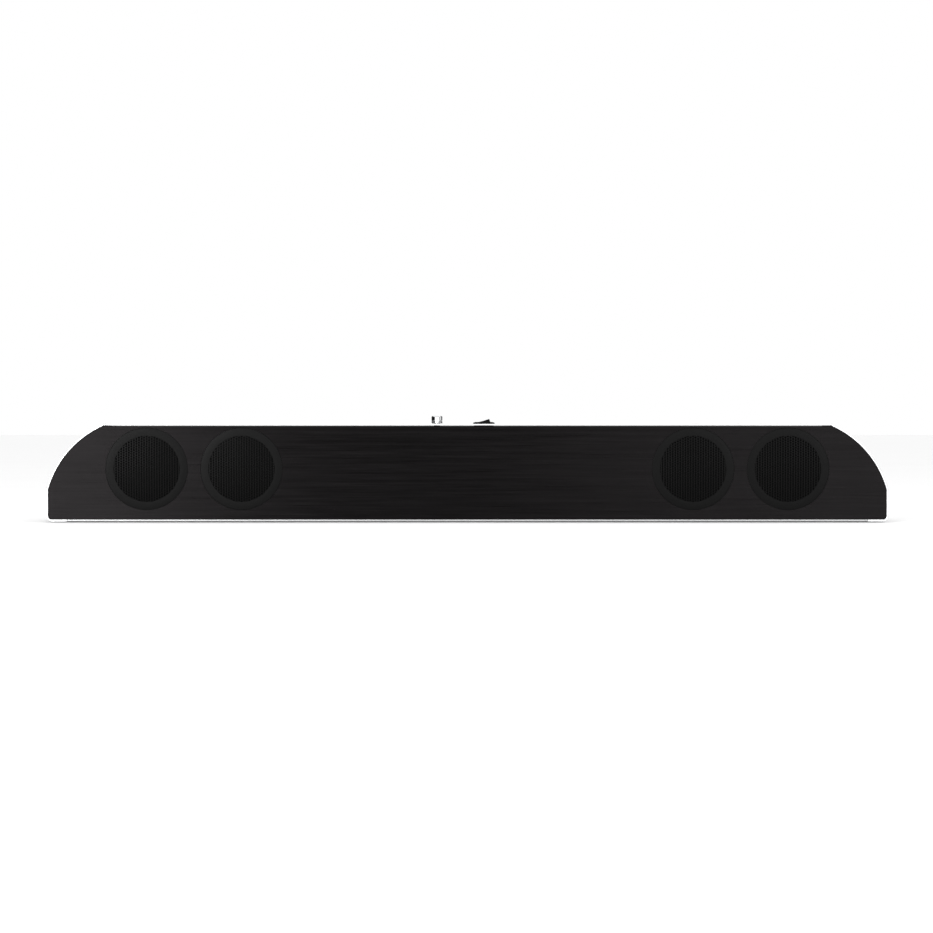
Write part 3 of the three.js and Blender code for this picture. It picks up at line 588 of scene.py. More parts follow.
def topPanel():
    look = roofLook
    switch, knob = span("switch_body")[0], span("volume_knob")[0]
    loops = [rectanglePoints(0, 0, roofSize.x, depth), circlePoints(knob.x, 0, look["knobHole"], 32),
             rectanglePoints(switch.x, 0, look["cutoutLength"], look["cutoutWidth"], look["cutoutCorner"])]
    shape = slab(loops, caseLook["sheet"], caseLook["edge"], 3)
    moved(shape, shift(z=roofTop - caseLook["sheet"] / 2))
    addPiece("case_top", shape, "case", ["top_panel"], "silver_anodised")


def bottomPanel():
    shape = slab([rectanglePoints(0, 0, floorSize.x, depth)], caseLook["floorSheet"], caseLook["edge"], 3)
    moved(shape, shift(z=floorMiddle.z))
    seats = []
    for name in padNames:
        middle, size = span(name)
        r, top = size.x / 2 + padLook["seatGap"], floorBottom + padLook["seatDepth"]
        seats.append(moved(turned([(0, -1), (r, -1), (r, top), (0, top)], 48), shift(middle.x, middle.y)))
    # the bottom panel takes the darker silver copy: painted shade for the dim light under the bar
    addPiece("case_bottom", carved(shape, *seats), "case", ["bottom_panel"], "silver_anodised",
             extraFinishes["paintedShadeSilver"])


def endCap(side, sign):
    # formed sheet: its section runs from the seam in the top, round the shoulder and in under the bar
    look = caseLook
    sheet, inside = look["sheet"], floorBottom + look["floorSheet"]
    seam, foot = (size.x / 2 + look["seamGap"] for size in (roofSize, floorSize))
    corner = look["cornerRadius"]
    centre = (halfLength - corner, floorBottom + corner)
    outer = [(foot, floorBottom)] + arcPoints(centre, corner, -90, 0, 12) + shoulderArc(0)
    if outer[-1][0] - seam > 0.01:
        outer.append((seam, roofTop))
    inner = [(x, max(z, inside)) for x, z in arcPoints(centre, corner - sheet, -78, 0, 10)]
    inner = [(foot, inside)] + inner + shoulderArc(sheet)
    inner = [(x, z) for x, z in inner if x > seam] + [(seam, roofTop - sheet)]
    shape = wallSlab([outer + inner[::-1]], -depth / 2, depth / 2, look["edge"], 3)
    if sign < 0:
        moved(shape, Matrix.Scale(-1, 4, (1, 0, 0)))
    addPiece(f"case_end_{side}", shape, "case", [f"end_cap_{side}"], "silver_anodised", sharpAngle=40)


def rubberPad(node):
    middle, size = span(node)
    r, height, soft, dish = size.x / 2, size.z, padLook["edge"], padLook["dish"]
    profile = [(0, dish), (r * 0.55, dish), (r * 0.62, 0), (r - soft, 0)]
    profile += arcPoints((r - soft, soft), soft, -90, 0, 5)[1:] + [(r, height), (0, height)]
    pad = moved(turned(profile, 48), shift(middle.x, middle.y))
    addPiece(f"{node}_rubber", pad, "case", [node], "black_rubber")


topPanel()
bottomPanel()
for side, sign in sides.items():
    endCap(side, sign)
for node in padNames:
    rubberPad(node)
print("case made")

# ---- front plate ----

grilleMiddle = {name: span(f"grille_{name}")[0] for name in driverNames}
grilleLow, grilleHigh = box("grille_left_outer")
grilleRadius = (grilleHigh.x - grilleLow.x) / 2
plateLook = {"edge": 0.06, "grilleGap": 0.06}


def frontPlate():
    loops = [barOutline(halfLength - plateHigh.x, plateLow.z - floorBottom)]
    for middle in grilleMiddle.values():
        loops.append(circlePoints(middle.x, middle.z, grilleRadius + plateLook["grilleGap"], 144))
    shape = wallSlab(loops, plateLow.y, plateHigh.y, plateLook["edge"])
    addPiece("front_panel", shape, "case", ["front_plate"], "black_anodised")


frontPlate()
print("front plate made")

# ---- grilles ----

grilleLook = {
    "columnPitch": 2.45, "holePitch": 2.4, "holeRadius": 1.08, "holeSides": 12, "sheet": 0.8,
    "ringWidth": 7.75, "rise": 0.9, "edge": 0.25, "plainRim": 0.25, "rimSides": 144, "underRing": 2.2,
    "behindRing": 0.42, "clothGap": 0.05, "clothThickness": 0.3, "clothSteps": 12,
}
facing = grilleLow.y + grilleLook["rise"]  # the front of the ring
domeRadius = grilleRadius - grilleLook["ringWidth"]


def domeFront(radius):
    # the sheet's front at a distance from its middle
    look = grilleLook
    share = min(radius / domeRadius, 1)
    return facing + look["behindRing"] - (look["rise"] + look["behindRing"]) * (1 - share ** 2)


def perforatedSheet():
    # a dome of sheet with staggered round holes; each layer is a triangulation that keeps the holes open
    look = grilleLook
    column, pitch, hole = look["columnPitch"], look["holePitch"], look["holeRadius"]
    corners, edge = look["holeSides"], domeRadius + look["underRing"]
    reach = int(edge / min(column, pitch)) + 2
    points, edges = [], []

    def loop(ring):
        first = len(points)
        points.extend(Vector(p) for p in ring)
        edges.extend((first + k, first + (k + 1) % len(ring)) for k in range(len(ring)))

    loop(circlePoints(0, 0, edge, look["rimSides"]))
    for i in range(-reach, reach + 1):
        for j in range(-reach, reach + 1):
            x, z = i * column, (j + (i % 2) / 2) * pitch
            if math.hypot(x, z) + hole + look["plainRim"] < edge:
                loop(circlePoints(x, z, hole, corners))
    flat, _, triangles, sources, *_ = delaunay_2d_cdt(points, edges, [], 1, 1e-6)
    rim = look["rimSides"]
    holeOf = [(origin[0] - rim) // corners if origin and origin[0] >= rim else -1 - k
              for k, origin in enumerate(sources)]
    kept = [face for face in triangles if len({holeOf[v] for v in face}) > 1]
    shape = bmesh.new()
    frontLayer = [shape.verts.new((p.x, domeFront(p.length), p.y)) for p in flat]
    backLayer = [shape.verts.new((p.x, domeFront(p.length) + look["sheet"], p.y)) for p in flat]
    for face in kept:
        shape.faces.new([frontLayer[v] for v in face])
        shape.faces.new([backLayer[v] for v in reversed(face)])
    partner = dict(zip(frontLayer, backLayer))
    for rimEdge in [e for e in shape.edges if len(e.link_faces) == 1]:
        a, b = rimEdge.verts
        if a in partner and b in partner:
            shape.faces.new((a, b, partner[b], partner[a]))
    bmesh.ops.delete(shape, geom=[v for v in shape.verts if not v.link_faces], context="VERTS")
    return smoothed(shape)


def grilleRing():
    # the plain ring with its rolled front edge and its skirt
    look = grilleLook
    outer, inner, back = grilleRadius, domeRadius, grilleHigh.y
    sheet, edge, under = look["sheet"], look["edge"], inner + look["underRing"]
    step = facing + look["behindRing"] - 0.05
    profile = [(inner + 0.12, facing)] + arcPoints((outer - edge, facing + edge), edge, -90, 0, 6)
    profile += [(outer, back - 0.1), (outer - 0.1, back), (outer - sheet + 0.1, back),
                (outer - sheet, back - 0.1), (outer - sheet, facing + sheet + 0.2),
                (outer - sheet - 0.2, facing + sheet), (under + 0.2, facing + sheet), (under, step),
                (inner, step), (inner - 0.04, facing + 0.15)]
    return onY(profile, segments=look["rimSides"], closed=True)


def shadeCloth():
    # thin cloth laid against the back of the sheet; its near-black colour is painted shade, the dark inside the grille
    # seen through the holes
    look = grilleLook
    edge, steps = domeRadius + look["underRing"], look["clothSteps"]
    radii = [edge * k / steps for k in range(steps + 1)]
    front = [(r, domeFront(r) + look["sheet"] + look["clothGap"]) for r in radii]
    back = [(r, y + look["clothThickness"]) for r, y in front]
    return onY(back + front[::-1], segments=look["rimSides"])


def makeGrilles():
    parts = [("mesh", toMesh(perforatedSheet()), "black_painted_steel", "grilleMesh"),
             ("ring", toMesh(grilleRing()), "black_painted_steel", "grilleRing"),
             ("cloth", toMesh(shadeCloth()), "cone_paper", "shadeCloth")]
    for name, middle in grilleMiddle.items():
        for part, source, slotName, finish in parts:
            nodes = [f"grille_{name}"] if part == "mesh" else []
            mesh = copied(source, shift(middle.x, 0, middle.z))
            addPiece(f"grille_{part}_{name}", mesh, "case", nodes, slotName, extraFinishes[finish])
    for _, source, *_ in parts:
        bpy.data.meshes.remove(source)


makeGrilles()
print("grilles made")

# ---- volume control ----

knobMiddle, knobSize = span("volume_knob")
shaftLow, shaftHigh = box("volume_shaft")

knobLook = {
    "bore": 3.3, "roof": 1.8, "chamfer": 0.62, "soften": 0.12, "dish": 0.12,
    "pointerWidth": 0.9, "pointerDepth": 0.5, "pointerDrop": 2.4, "pointerCut": 0.3,
}


def volumeKnob():
    look = knobLook
    r, soft, chamfer, dish = knobSize.x / 2, look["soften"], look["chamfer"], look["dish"]
    bore, roof = look["bore"], look["roof"]
    low, high = knobMiddle.z - knobSize.z / 2, knobMiddle.z + knobSize.z / 2
    profile = [(bore, low + soft), (bore + soft, low), (r - 0.25, low), (r - 0.07, low + 0.07),
               (r, low + 0.25), (r, high - chamfer - soft), (r - soft * 0.4, high - chamfer),
               (r - chamfer, high - soft * 0.4), (r - chamfer - soft, high), (r - chamfer - 0.3, high),
               (r - chamfer - 0.45, high - dish), (0, high - dish * 1.4), (0, high - roof), (bore, high - roof)]
    width, cutDepth, drop, groove = (look["pointer" + k] for k in ("Width", "Depth", "Drop", "Cut"))
    start, y0, z1 = -r * 0.35, -r - 1, high + 1
    cutters = []
    for y1, z0 in ((start, high - cutDepth), (groove - r, high - drop)):
        block = slab([rectanglePoints(0, (y0 + y1) / 2, width, y1 - y0)], z1 - z0, 0.02, 0)
        cutters.append(moved(block, shift(z=(z0 + z1) / 2)))
    body = carved(turned(profile, 96, closed=True), *cutters)
    place = shift(knobMiddle.x)
    body.transform(place)
    addPiece("knob_body", body, "volume_control", ["volume_knob"], "chrome_plate")
    # the pointer's paint lies in the bottom of its groove
    fill = width - 0.04
    outline = rectanglePoints(0, (start - r + groove) / 2 - 0.1, fill, r - groove + start - 0.1)
    onTop = moved(slab([outline], 0.3, 0.04, 1), shift(z=high - cutDepth + 0.14))
    outline = rectanglePoints(0, high - (drop + cutDepth) / 2, fill, drop - cutDepth - 0.05, 0.1)
    inFront = moved(slab([outline], 0.2, 0.04, 1), shift(0, groove - r - 0.02) @ standUp)
    addPiece("knob_pointer", moved(joined(onTop, inFront), place), "volume_control", [], "black_plastic",
             extraFinishes["markInk"])


def volumeShaft():
    r, soft = (shaftHigh.x - shaftLow.x) / 2, 0.3
    profile = [(0, shaftLow.z), (r - soft, shaftLow.z), (r, shaftLow.z + soft), (r, shaftHigh.z - soft),
               (r - soft, shaftHigh.z), (0, shaftHigh.z)]
    rod = moved(turned(profile, 48), shift(knobMiddle.x))
    addPiece("knob_shaft", rod, "volume_control", ["volume_shaft"], "bare_aluminium")


volumeKnob()
volumeShaft()
print("volume control made")

# ---- rocker switch ----

switchMiddle, bezelSize = span("switch_body")

switchLook = {
    "bezelHeight": 1.9, "fitGap": 0.3, "bezelCorner": 1.1, "windowCorner": 0.5, "bezelLip": 1.1,
    "endWall": 1.2, "sideWall": 1, "bodyDepth": 14, "floor": 3, "bladeX": 5, "bladeWidth": 4.8,
    "bladeThickness": 0.8, "bladeLength": 7,
    # shares of the way in to the window, and of the way up
    "bezelSlope": [(0, 0), (0, 0.44), (0.03, 0.54), (0.1, 0.6), (0.84, 0.96), (0.92, 1), (0.97, 0.98),
                   (1, 0.9), (1, 0)],
}
rockerLook = {
    "tilt": -15, "pivotDepth": 2, "width": 10.2, "edge": 0.3, "markReach": 3.6,
    "halfProfile": [(6.9, 5.3, 0.3), (7.1, 2, 1.2), (6.8, -1, 1.2), (4.7, -5, 1.0), (1.7, -7, 1.0)],
    "valley": (0, 4.95, 4.0),
}


def switchBezel(window, low, high):
    look = switchLook
    corner, inner = look["bezelCorner"], look["windowCorner"]
    shape = bmesh.new()
    loops = []
    for inset, height in look["bezelSlope"]:
        length, width = (size + (hole - size) * inset for size, hole in zip(bezelSize.xy, window))
        outline = rectanglePoints(switchMiddle.x, 0, length, width, corner + (inner - corner) * inset, 8)
        loops.append([shape.verts.new((*point, low + (high - low) * height)) for point in outline])
    for one, two in zip(loops, loops[1:] + loops[:1]):
        band(shape, one, two)
    return smoothed(shape)


def switchBlade(x, bottom):
    look = switchLook
    w, end = look["bladeWidth"] / 2, bottom - look["bladeLength"]
    corners = [(-w, bottom + 1), (w, bottom + 1), (w, end + 1), (w * 0.6, end), (-w * 0.6, end),
               (-w, end + 1)]
    outline = roundCorners(corners, [0, 0, 0.3, 0.2, 0.2, 0.3], 3)
    blade = slab([outline, circlePoints(0, end + 2.6, 0.8, 24)], look["bladeThickness"], 0.08)
    return moved(blade, shift(x) @ Matrix.Rotation(math.pi / 2, 4, "Z") @ standUp)


def switchBody():
    look = switchLook
    x, lip = switchMiddle.x, look["bezelLip"]
    length, width = bezelSize.x - 2 * lip, bezelSize.y - 2 * lip
    window = length - 2 * look["endWall"], width - 2 * look["sideWall"]
    low, high, bottom = roofTop + look["fitGap"], roofTop + look["bezelHeight"], roofTop - look["bodyDepth"]
    addPiece("switch_bezel", switchBezel(window, low, high), "case", ["switch_body"], "black_plastic")
    wallTop = low + 0.5
    loops = [rectanglePoints(x, 0, length, width, 0.6), rectanglePoints(x, 0, *window, look["windowCorner"])]
    walls = moved(slab(loops, wallTop - bottom, 0.1), shift(z=(wallTop + bottom) / 2))
    base = slab([rectanglePoints(x, 0, length - 0.4, width - 0.4, 0.6)], look["floor"], 0.2)
    moved(base, shift(z=bottom + look["floor"] / 2))
    addPiece("switch_box", joined(walls, base), "case", [], "black_plastic")
    blades = [switchBlade(x + offset, bottom) for offset in (-look["bladeX"], look["bladeX"])]
    addPiece("switch_blades", joined(*blades), "case", [], "zinc_steel")


def powerRocker():
    look = rockerLook
    half, valley, reach = look["halfProfile"], look["valley"], look["markReach"]
    corners = [valley] + half + [(-x, z, r) for x, z, r in reversed(half)]
    outline = roundCorners([(x, z) for x, z, _ in corners], [r for *_, r in corners], 6)
    tilt = Matrix.Rotation(math.radians(look["tilt"]), 4, "Y")
    place = shift(switchMiddle.x, 0, roofTop - look["pivotDepth"]) @ tilt
    body = moved(slab([outline], look["width"], look["edge"], 3), place @ standUp)
    addPiece("rocker_body", body, "power_rocker", ["power_rocker"], "black_plastic", sharpAngle=50)
    # a bar and a ring, printed one on each face
    slope = math.atan2(half[0][1] - valley[1], half[0][0])
    height = valley[1] + reach * math.tan(slope) - 0.02
    bar = [rectanglePoints(0, 0, 0.5, 2.6, 0.15)]
    ring = [circlePoints(0, 0, 1.35, 40), circlePoints(0, 0, 0.95, 40)]
    for name, loops, sign in (("bar", bar, -1), ("ring", ring, 1)):
        onFace = shift(sign * reach, 0, height) @ Matrix.Rotation(-sign * slope, 4, "Y")
        addPiece(f"rocker_{name}", moved(slab(loops, 0.1, 0.02, 1), place @ onFace), "power_rocker", [],
                 "black_plastic", extraFinishes["whitePrint"])


switchBody()
powerRocker()
print("switch made")

# ---- rear panel, sockets and wall hangers ----

rearLow, rearHigh = box("rear_panel")
cupMiddle, cupSize = span("connector_cup")
cupLow, cupHigh = box("connector_cup")
screwNames = sorted(n for n in frame["nodes"] if n.startswith("rear_screw_"))

rearLook = {
    "edge": 0.2, "cupWall": 1.5, "cupFlange": 5, "cupDepth": 15, "ventPitch": 7, "vents": 5,
    "ventWidth": 3, "ventHeight": 22, "hangerInset": 10.5, "screwHole": 1.8,
}
socketLook = {
    "dc_inlet": {"flange": 6.5, "collar": 5.6, "length": 3, "bore": 2.9, "body": 5},
    "aux_jack": {"flange": 4.4, "collar": 3.8, "length": 3, "bore": 1.8, "body": 3.5},
    "rca_jack_left": {"flange": 5.6, "collar": 4.15, "length": 9, "bore": 1.7, "body": 3.8},
    "rca_jack_right": {"flange": 5.6, "collar": 4.15, "length": 9, "bore": 1.7, "body": 3.8},
}
insulators = {"rca_jack_left": "whiteInsulator", "rca_jack_right": "redInsulator"}


def rearPanel():
    look = rearLook
    lip, inset = 2 * (look["cupWall"] + look["cupFlange"]), 2 * look["hangerInset"]
    windowLength, windowHeight = cupSize.x - lip, cupSize.z - lip
    loops = [barOutline(halfLength - rearHigh.x, rearLow.z - floorBottom),
             rectanglePoints(0, cupMiddle.z, windowLength, windowHeight, 1)]
    for side, sign in sides.items():
        middle, size = span(f"wall_hanger_{side}")
        loops.append(rectanglePoints(middle.x, middle.z, size.x - inset, size.z - inset, 1.2))
        for vent in range(look["vents"]):
            x = sign * (windowLength / 2 + (vent + 2) * look["ventPitch"])
            loops.append(rectanglePoints(x, cupMiddle.z, look["ventWidth"], look["ventHeight"], 1.45, 6))
    for name in screwNames:
        middle, _ = span(name)
        loops.append(circlePoints(middle.x, middle.z, look["screwHole"], 32))
    shape = wallSlab(loops, rearLow.y, rearHigh.y, look["edge"])
    addPiece("rear_cover", shape, "case", ["rear_panel"], "black_painted_steel")


def connectorCup():
    look = rearLook
    wall, flange, z = look["cupWall"], look["cupFlange"], cupMiddle.z
    length, height = cupSize.x - 2 * (wall + flange), cupSize.z - 2 * (wall + flange)
    back, floor = cupHigh.y, cupHigh.y - look["cupDepth"]
    window = rectanglePoints(0, z, length, height, 1)
    outside = rectanglePoints(0, z, length + 2 * wall, height + 2 * wall, 1.5)
    lip = wallSlab([rectanglePoints(0, z, cupSize.x, cupSize.z, 3), window], back - wall, back, 0.2)
    walls = wallSlab([outside, window], floor - wall, back - 0.2, 0.1)
    holes = [circlePoints(span(name)[0].x, z, socket["body"] + 0.3, 40)
             for name, socket in socketLook.items()]
    base = wallSlab([outside, *holes], floor - wall, floor, 0.12)
    addPiece("connector_tray", joined(lip, walls, base), "case", ["connector_cup"], "black_plastic")
    return floor


def powerInlet(name, x, z, seat, mouth, bodyBack):
    flange, collar, bore, body = (socketLook[name][k] for k in ("flange", "collar", "bore", "body"))
    bottom = mouth - 8
    shell = [(0, bodyBack), (body - 0.3, bodyBack), (body, bodyBack + 0.3), (body, seat),
             (flange - 0.2, seat), (flange, seat + 0.2), (flange, seat + 0.8), (flange - 0.2, seat + 1),
             (collar, seat + 1), (collar, mouth - 0.3), (collar - 0.3, mouth), (bore + 0.3, mouth),
             (bore, mouth - 0.3), (bore, bottom), (0, bottom)]
    addPiece("dc_shell", onY(shell, x, z, 64), "case", [name], slotOf[name])
    pin = [(0, bottom), (1.05, bottom), (1.05, mouth - 1.3), (0.75, mouth - 1), (0, mouth - 1)]
    addPiece("dc_pin", onY(pin, x, z, 32), "case", [], "zinc_steel")


def jack(name, x, z, seat, mouth, bodyBack):
    flange, collar, bore, body = (socketLook[name][k] for k in ("flange", "collar", "bore", "body"))
    threaded = name == "aux_jack"
    inside = bore if threaded else 0.8 * collar
    threads = []
    y = seat + 1.05
    while threaded and y < mouth - 0.6:
        threads += [(collar, y), (collar - 0.12, y + 0.15)]
        y += 0.3
    shell = [(inside, bodyBack), (body - 0.2, bodyBack), (body, bodyBack + 0.2), (body, seat), (collar, seat)]
    shell += threads + [(collar, mouth - 0.25), (collar - 0.25, mouth), (inside + 0.15, mouth), (inside, mouth - 0.15)]
    hexagon = arcPoints((x, z), flange, 30, 330, 5)
    nut = wallSlab([hexagon, circlePoints(x, z, collar - 0.02, 48)], seat, seat + 1, 0.15)
    addPiece(f"{name}_shell", joined(onY(shell, x, z, 64, closed=True), nut), "case", [name], slotOf[name])
    start, front = bodyBack + 1, mouth - 0.45
    if threaded:
        filling = [(bore - 0.4, start), (bore, start), (bore, mouth - 2), (bore - 0.4, mouth - 2)]
    else:
        filling = [(bore, start), (inside, start), (inside, front), (bore + 0.3, front), (bore, front - 0.3)]
    addPiece(f"{name}_lining", onY(filling, x, z, 48, closed=True), "case", [], "black_plastic",
             extraFinishes.get(insulators.get(name)))


def sockets(floor):
    for name, look in socketLook.items():
        middle, _ = span(name)
        make = powerInlet if name == "dc_inlet" else jack
        make(name, middle.x, middle.z, floor + 0.3, floor + look["length"], cupLow.y - 8)


hangerLook = {
    "wall": 1.5, "flange": 4, "headRadius": 4.9, "slotWidth": 5, "travel": 12,
}


def wallHanger(side):
    look = hangerLook
    name = f"wall_hanger_{side}"
    low, high = box(name)
    middle, size = span(name)
    wall, half, travel, head = look["wall"], look["slotWidth"] / 2, look["travel"] / 2, look["headRadius"]
    x, z = middle.x, middle.z
    mouth = math.degrees(math.asin(half / head))
    keyhole = arcPoints((x, z - travel), head, 90 + mouth, 450 - mouth, 40)
    keyhole += arcPoints((x, z + travel), half, 0, 180, 16)
    plate = wallSlab([rectanglePoints(x, z, size.x, size.z, 2.5), keyhole], high.y - wall, high.y, 0.22, 3)
    trim = 2 * (wall + look["flange"])
    inside = rectanglePoints(x, z, size.x - trim, size.z - trim, 1.5)
    outside = rectanglePoints(x, z, size.x - trim + 2 * wall, size.z - trim + 2 * wall, 2.5)
    walls = wallSlab([outside, inside], low.y, high.y - wall + 0.2, 0.2)
    back = wallSlab([outside], low.y, low.y + wall, 0.2)
    addPiece(f"hanger_{side}", joined(plate, walls, back), "case", [name], "zinc_steel")


screwLook = {
    "shank": 1.5, "headHeight": 1.6, "headRim": 0.35, "recess": 0.62, "recessReach": 1.75,
    "recessDepth": 0.95, "firstTurn": 17, "nextTurn": 37,
}


def rearScrews():
    look = screwLook
    low, high = box(screwNames[0])
    _, size = span(screwNames[0])
    r, shank, rim = size.x / 2, look["shank"], look["headRim"]
    seat = high.y - look["headHeight"]
    domeRise = look["headHeight"] - rim
    profile = [(0, low.y), (shank * 0.4, low.y + 0.4), (shank, low.y + 1.6), (shank, seat), (r - 0.1, seat),
               (r, seat + 0.12)]
    profile += [(r * x, seat + rim + domeRise * y) for x, y in arcPoints((0, 0), 1, 0, 80, 8)] + [(0, high.y)]
    cross = []
    for turn in (0, math.pi / 2):
        outline = rectanglePoints(0, 0, 2 * look["recessReach"], look["recess"], 0.12, 2)
        bar = slab([outline], 2 * look["recessDepth"], 0.05, 1)
        cross.append(moved(bar, shift(0, high.y) @ standUp @ Matrix.Rotation(turn, 4, "Z")))
    screw = carved(onY(profile), *cross)
    for index, name in enumerate(screwNames):
        middle, _ = span(name)
        # each was tightened to its own angle
        spin = Matrix.Rotation(math.radians(look["firstTurn"] + look["nextTurn"] * index), 4, "Y")
        pan = copied(screw, shift(middle.x, 0, middle.z) @ spin)
        addPiece(f"{name}_pan", pan, "case", [name], "zinc_steel")
    bpy.data.meshes.remove(screw)


rearPanel()
sockets(connectorCup())
for side in sides:
    wallHanger(side)
rearScrews()
print("back made")

# ---- drivers ----

driverLook = {
    "segments": 96, "coneEdge": 28.1, "coneSheet": 0.8, "neckRadius": 12, "flare": 1.25, "coneSteps": 14,
    "capRadius": 10.4, "capRise": 4.2, "rimRadius": 36.5, "roll": 2.75, "rubber": 0.5, "sectors": 8,
    "sectorSteps": 12, "sharpAngle": 40,
}
basketLook = {
    "flange": 39.2, "mouth": 33.5, "sheet": 1.6, "flangeDepth": 3, "ledge": 1.2, "ring": 25.5, "bore": 12.7,
    "seat": 1.5, "windowShare": 1.24, "windowMargin": 4.5, "windowCorner": 3, "windowReach": 90,
}
magnetLook = {
    "plate": 24, "pole": 9.4, "gap": 11.3, "ferrite": 26, "plateStart": 2, "ringStart": 6, "soft": 0.4,
}
coilLook = {"inner": 9.9, "outer": 10.7, "soft": 0.1}
basketLow, basketHigh = box("basket_left_outer")
coneLow, coneHigh = box("cone_left_outer")
rollHigh = box("surround_left_outer")[1]


def coneShape():
    # a flared paper cone with a rolled edge
    look = driverLook
    edge, neck, sheet, steps = coneLow.y, coneHigh.y, look["coneSheet"], look["coneSteps"]
    r, inner = look["coneEdge"], look["capRadius"] + 0.6
    mouth = r - 2.6
    face = [(mouth - (mouth - look["neckRadius"]) * k / steps,
             edge + 0.15 + (neck - 2.4 - edge) * (k / steps) ** look["flare"]) for k in range(steps + 1)]
    back = [(x + 0.35, y + sheet) for x, y in face[::-1]]
    paper = [(r, edge + 0.15), (r - 0.15, edge), (r - 2.3, edge)] + face
    paper += [(inner, neck - 1.6), (inner, neck), (inner + 1, neck)] + back + [(r - 0.1, edge + sheet)]
    return onY(paper, segments=look["segments"], closed=True)


def capShape():
    # the domed dust cap in its throat
    look = driverLook
    r, rise, base = look["capRadius"], look["capRise"], coneHigh.y - 2.6
    dome = [(r + 0.9, base), (r + 0.9, base - 0.3), (r + 0.2, base - 0.5)]
    dome += [(r * x, base - 0.5 - (rise - 0.5) * y) for x, y in arcPoints((0, 0), 1, 7.5, 82.5, 10)]
    dome += [(0, base - rise), (0, base - rise + 0.6)]
    dome += [(0.93 * r * x, base - (rise - 0.7) * y) for x, y in arcPoints((0, 0), 1, 82.5, 0, 11)]
    return onY(dome, segments=look["segments"], closed=True)


def rollSector(index):
    # one part of the half-roll surround, swept round its own share of the ring
    look = driverLook
    back, sheet, low = rollHigh.y, look["rubber"], look["roll"]
    outer, inner = look["rimRadius"] - 0.3, look["coneEdge"] - 2
    middle = (look["rimRadius"] + look["coneEdge"]) / 2
    section = [(outer, back), (outer, back - sheet)]
    section += arcPoints((middle, back - 0.1), low + sheet, -8, -172, 14)
    section += [(inner, back - sheet), (inner, back)] + arcPoints((middle, back), low, -176, -4, 14)
    sweep, steps = 2 * math.pi / look["sectors"], look["sectorSteps"]
    shape = bmesh.new()
    rings = []
    for k in range(steps + 1):
        a = sweep * (index - 0.5 + k / steps)
        rings.append([shape.verts.new((x * math.cos(a), y, x * math.sin(a))) for x, y in section])
    for one, two in zip(rings, rings[1:]):
        band(shape, one, two)
    smoothed(shape)
    shape.faces.new(rings[0])
    shape.faces.new(rings[-1][::-1])
    return shape


def basketShape():
    # pressed steel: flange with a raised rim, cone of sheet with four windows, and the magnet's seat
    look = basketLook
    low, back, rim = basketLow.y, basketHigh.y, driverLook["rimRadius"]
    flange, mouth, sheet, ring, bore = (look[k] for k in ("flange", "mouth", "sheet", "ring", "bore"))
    flangeBack, ledge, seat = low + look["flangeDepth"], low + look["ledge"], back - look["seat"]
    profile = [(flange - 0.3, low), (flange, low + 0.3), (flange, flangeBack - 0.4),
               (flange - 0.4, flangeBack), (mouth + sheet + 0.5, flangeBack), (mouth + sheet, flangeBack + 0.6), (ring + 0.6, back - 2),
               (ring, back - 1), (ring, back), (bore, back), (bore, seat), (ring - 2, seat),
               (mouth, flangeBack - 0.3), (mouth, ledge), (rim, ledge), (rim, low + 0.2), (rim + 0.2, low)]
    outline = rectanglePoints(0, (flangeBack + seat) / 2, look["windowShare"] * ring,
                              back - flangeBack - look["windowMargin"], look["windowCorner"], 6)
    windows = [moved(slab([outline], look["windowReach"], 0.05, 0),
                     Matrix.Rotation(math.radians(turn), 4, "Y")) for turn in (45, 135)]
    return carved(onY(profile, segments=96, closed=True), *windows)


def magnetShape():
    look = magnetLook
    low, high, soft = magnetLow.y, magnetHigh.y, look["soft"]
    plate, pole, gap, ferrite = (look[k] for k in ("plate", "pole", "gap", "ferrite"))
    plateStart, ringStart = low + look["plateStart"], low + look["ringStart"]
    ringEnd = high - magnetPlates["back"]
    profile = [(0, low), (pole - soft, low), (pole, low + soft), (pole, ringEnd), (gap + 3, ringEnd),
               (gap + 3, ringStart), (gap, ringStart), (gap, plateStart), (plate - soft, plateStart),
               (plate, plateStart + soft), (plate, ringStart), (ferrite - soft, ringStart),
               (ferrite, ringStart + soft), (ferrite, ringEnd - soft), (ferrite - soft, ringEnd),
               (plate, ringEnd), (plate, high - soft), (plate - soft, high), (0, high)]
    return onY(profile, segments=96)


def coilShape():
    low, high = box("voice_coil_left_outer")
    inner, outer, soft = coilLook["inner"], coilLook["outer"], coilLook["soft"]
    profile = [(outer, low.y + soft), (outer, high.y - soft), (outer - soft, high.y), (inner + soft, high.y),
               (inner, high.y - soft), (inner, low.y + soft), (inner + soft, low.y), (outer - soft, low.y)]
    return onY(profile, segments=72, closed=True)


def terminalShape():
    back = basketHigh.y
    return wallSlab([rectanglePoints(0, -basketLook["ring"] - 2, 14, 7, 0.5)], back - 4, back, 0.3)


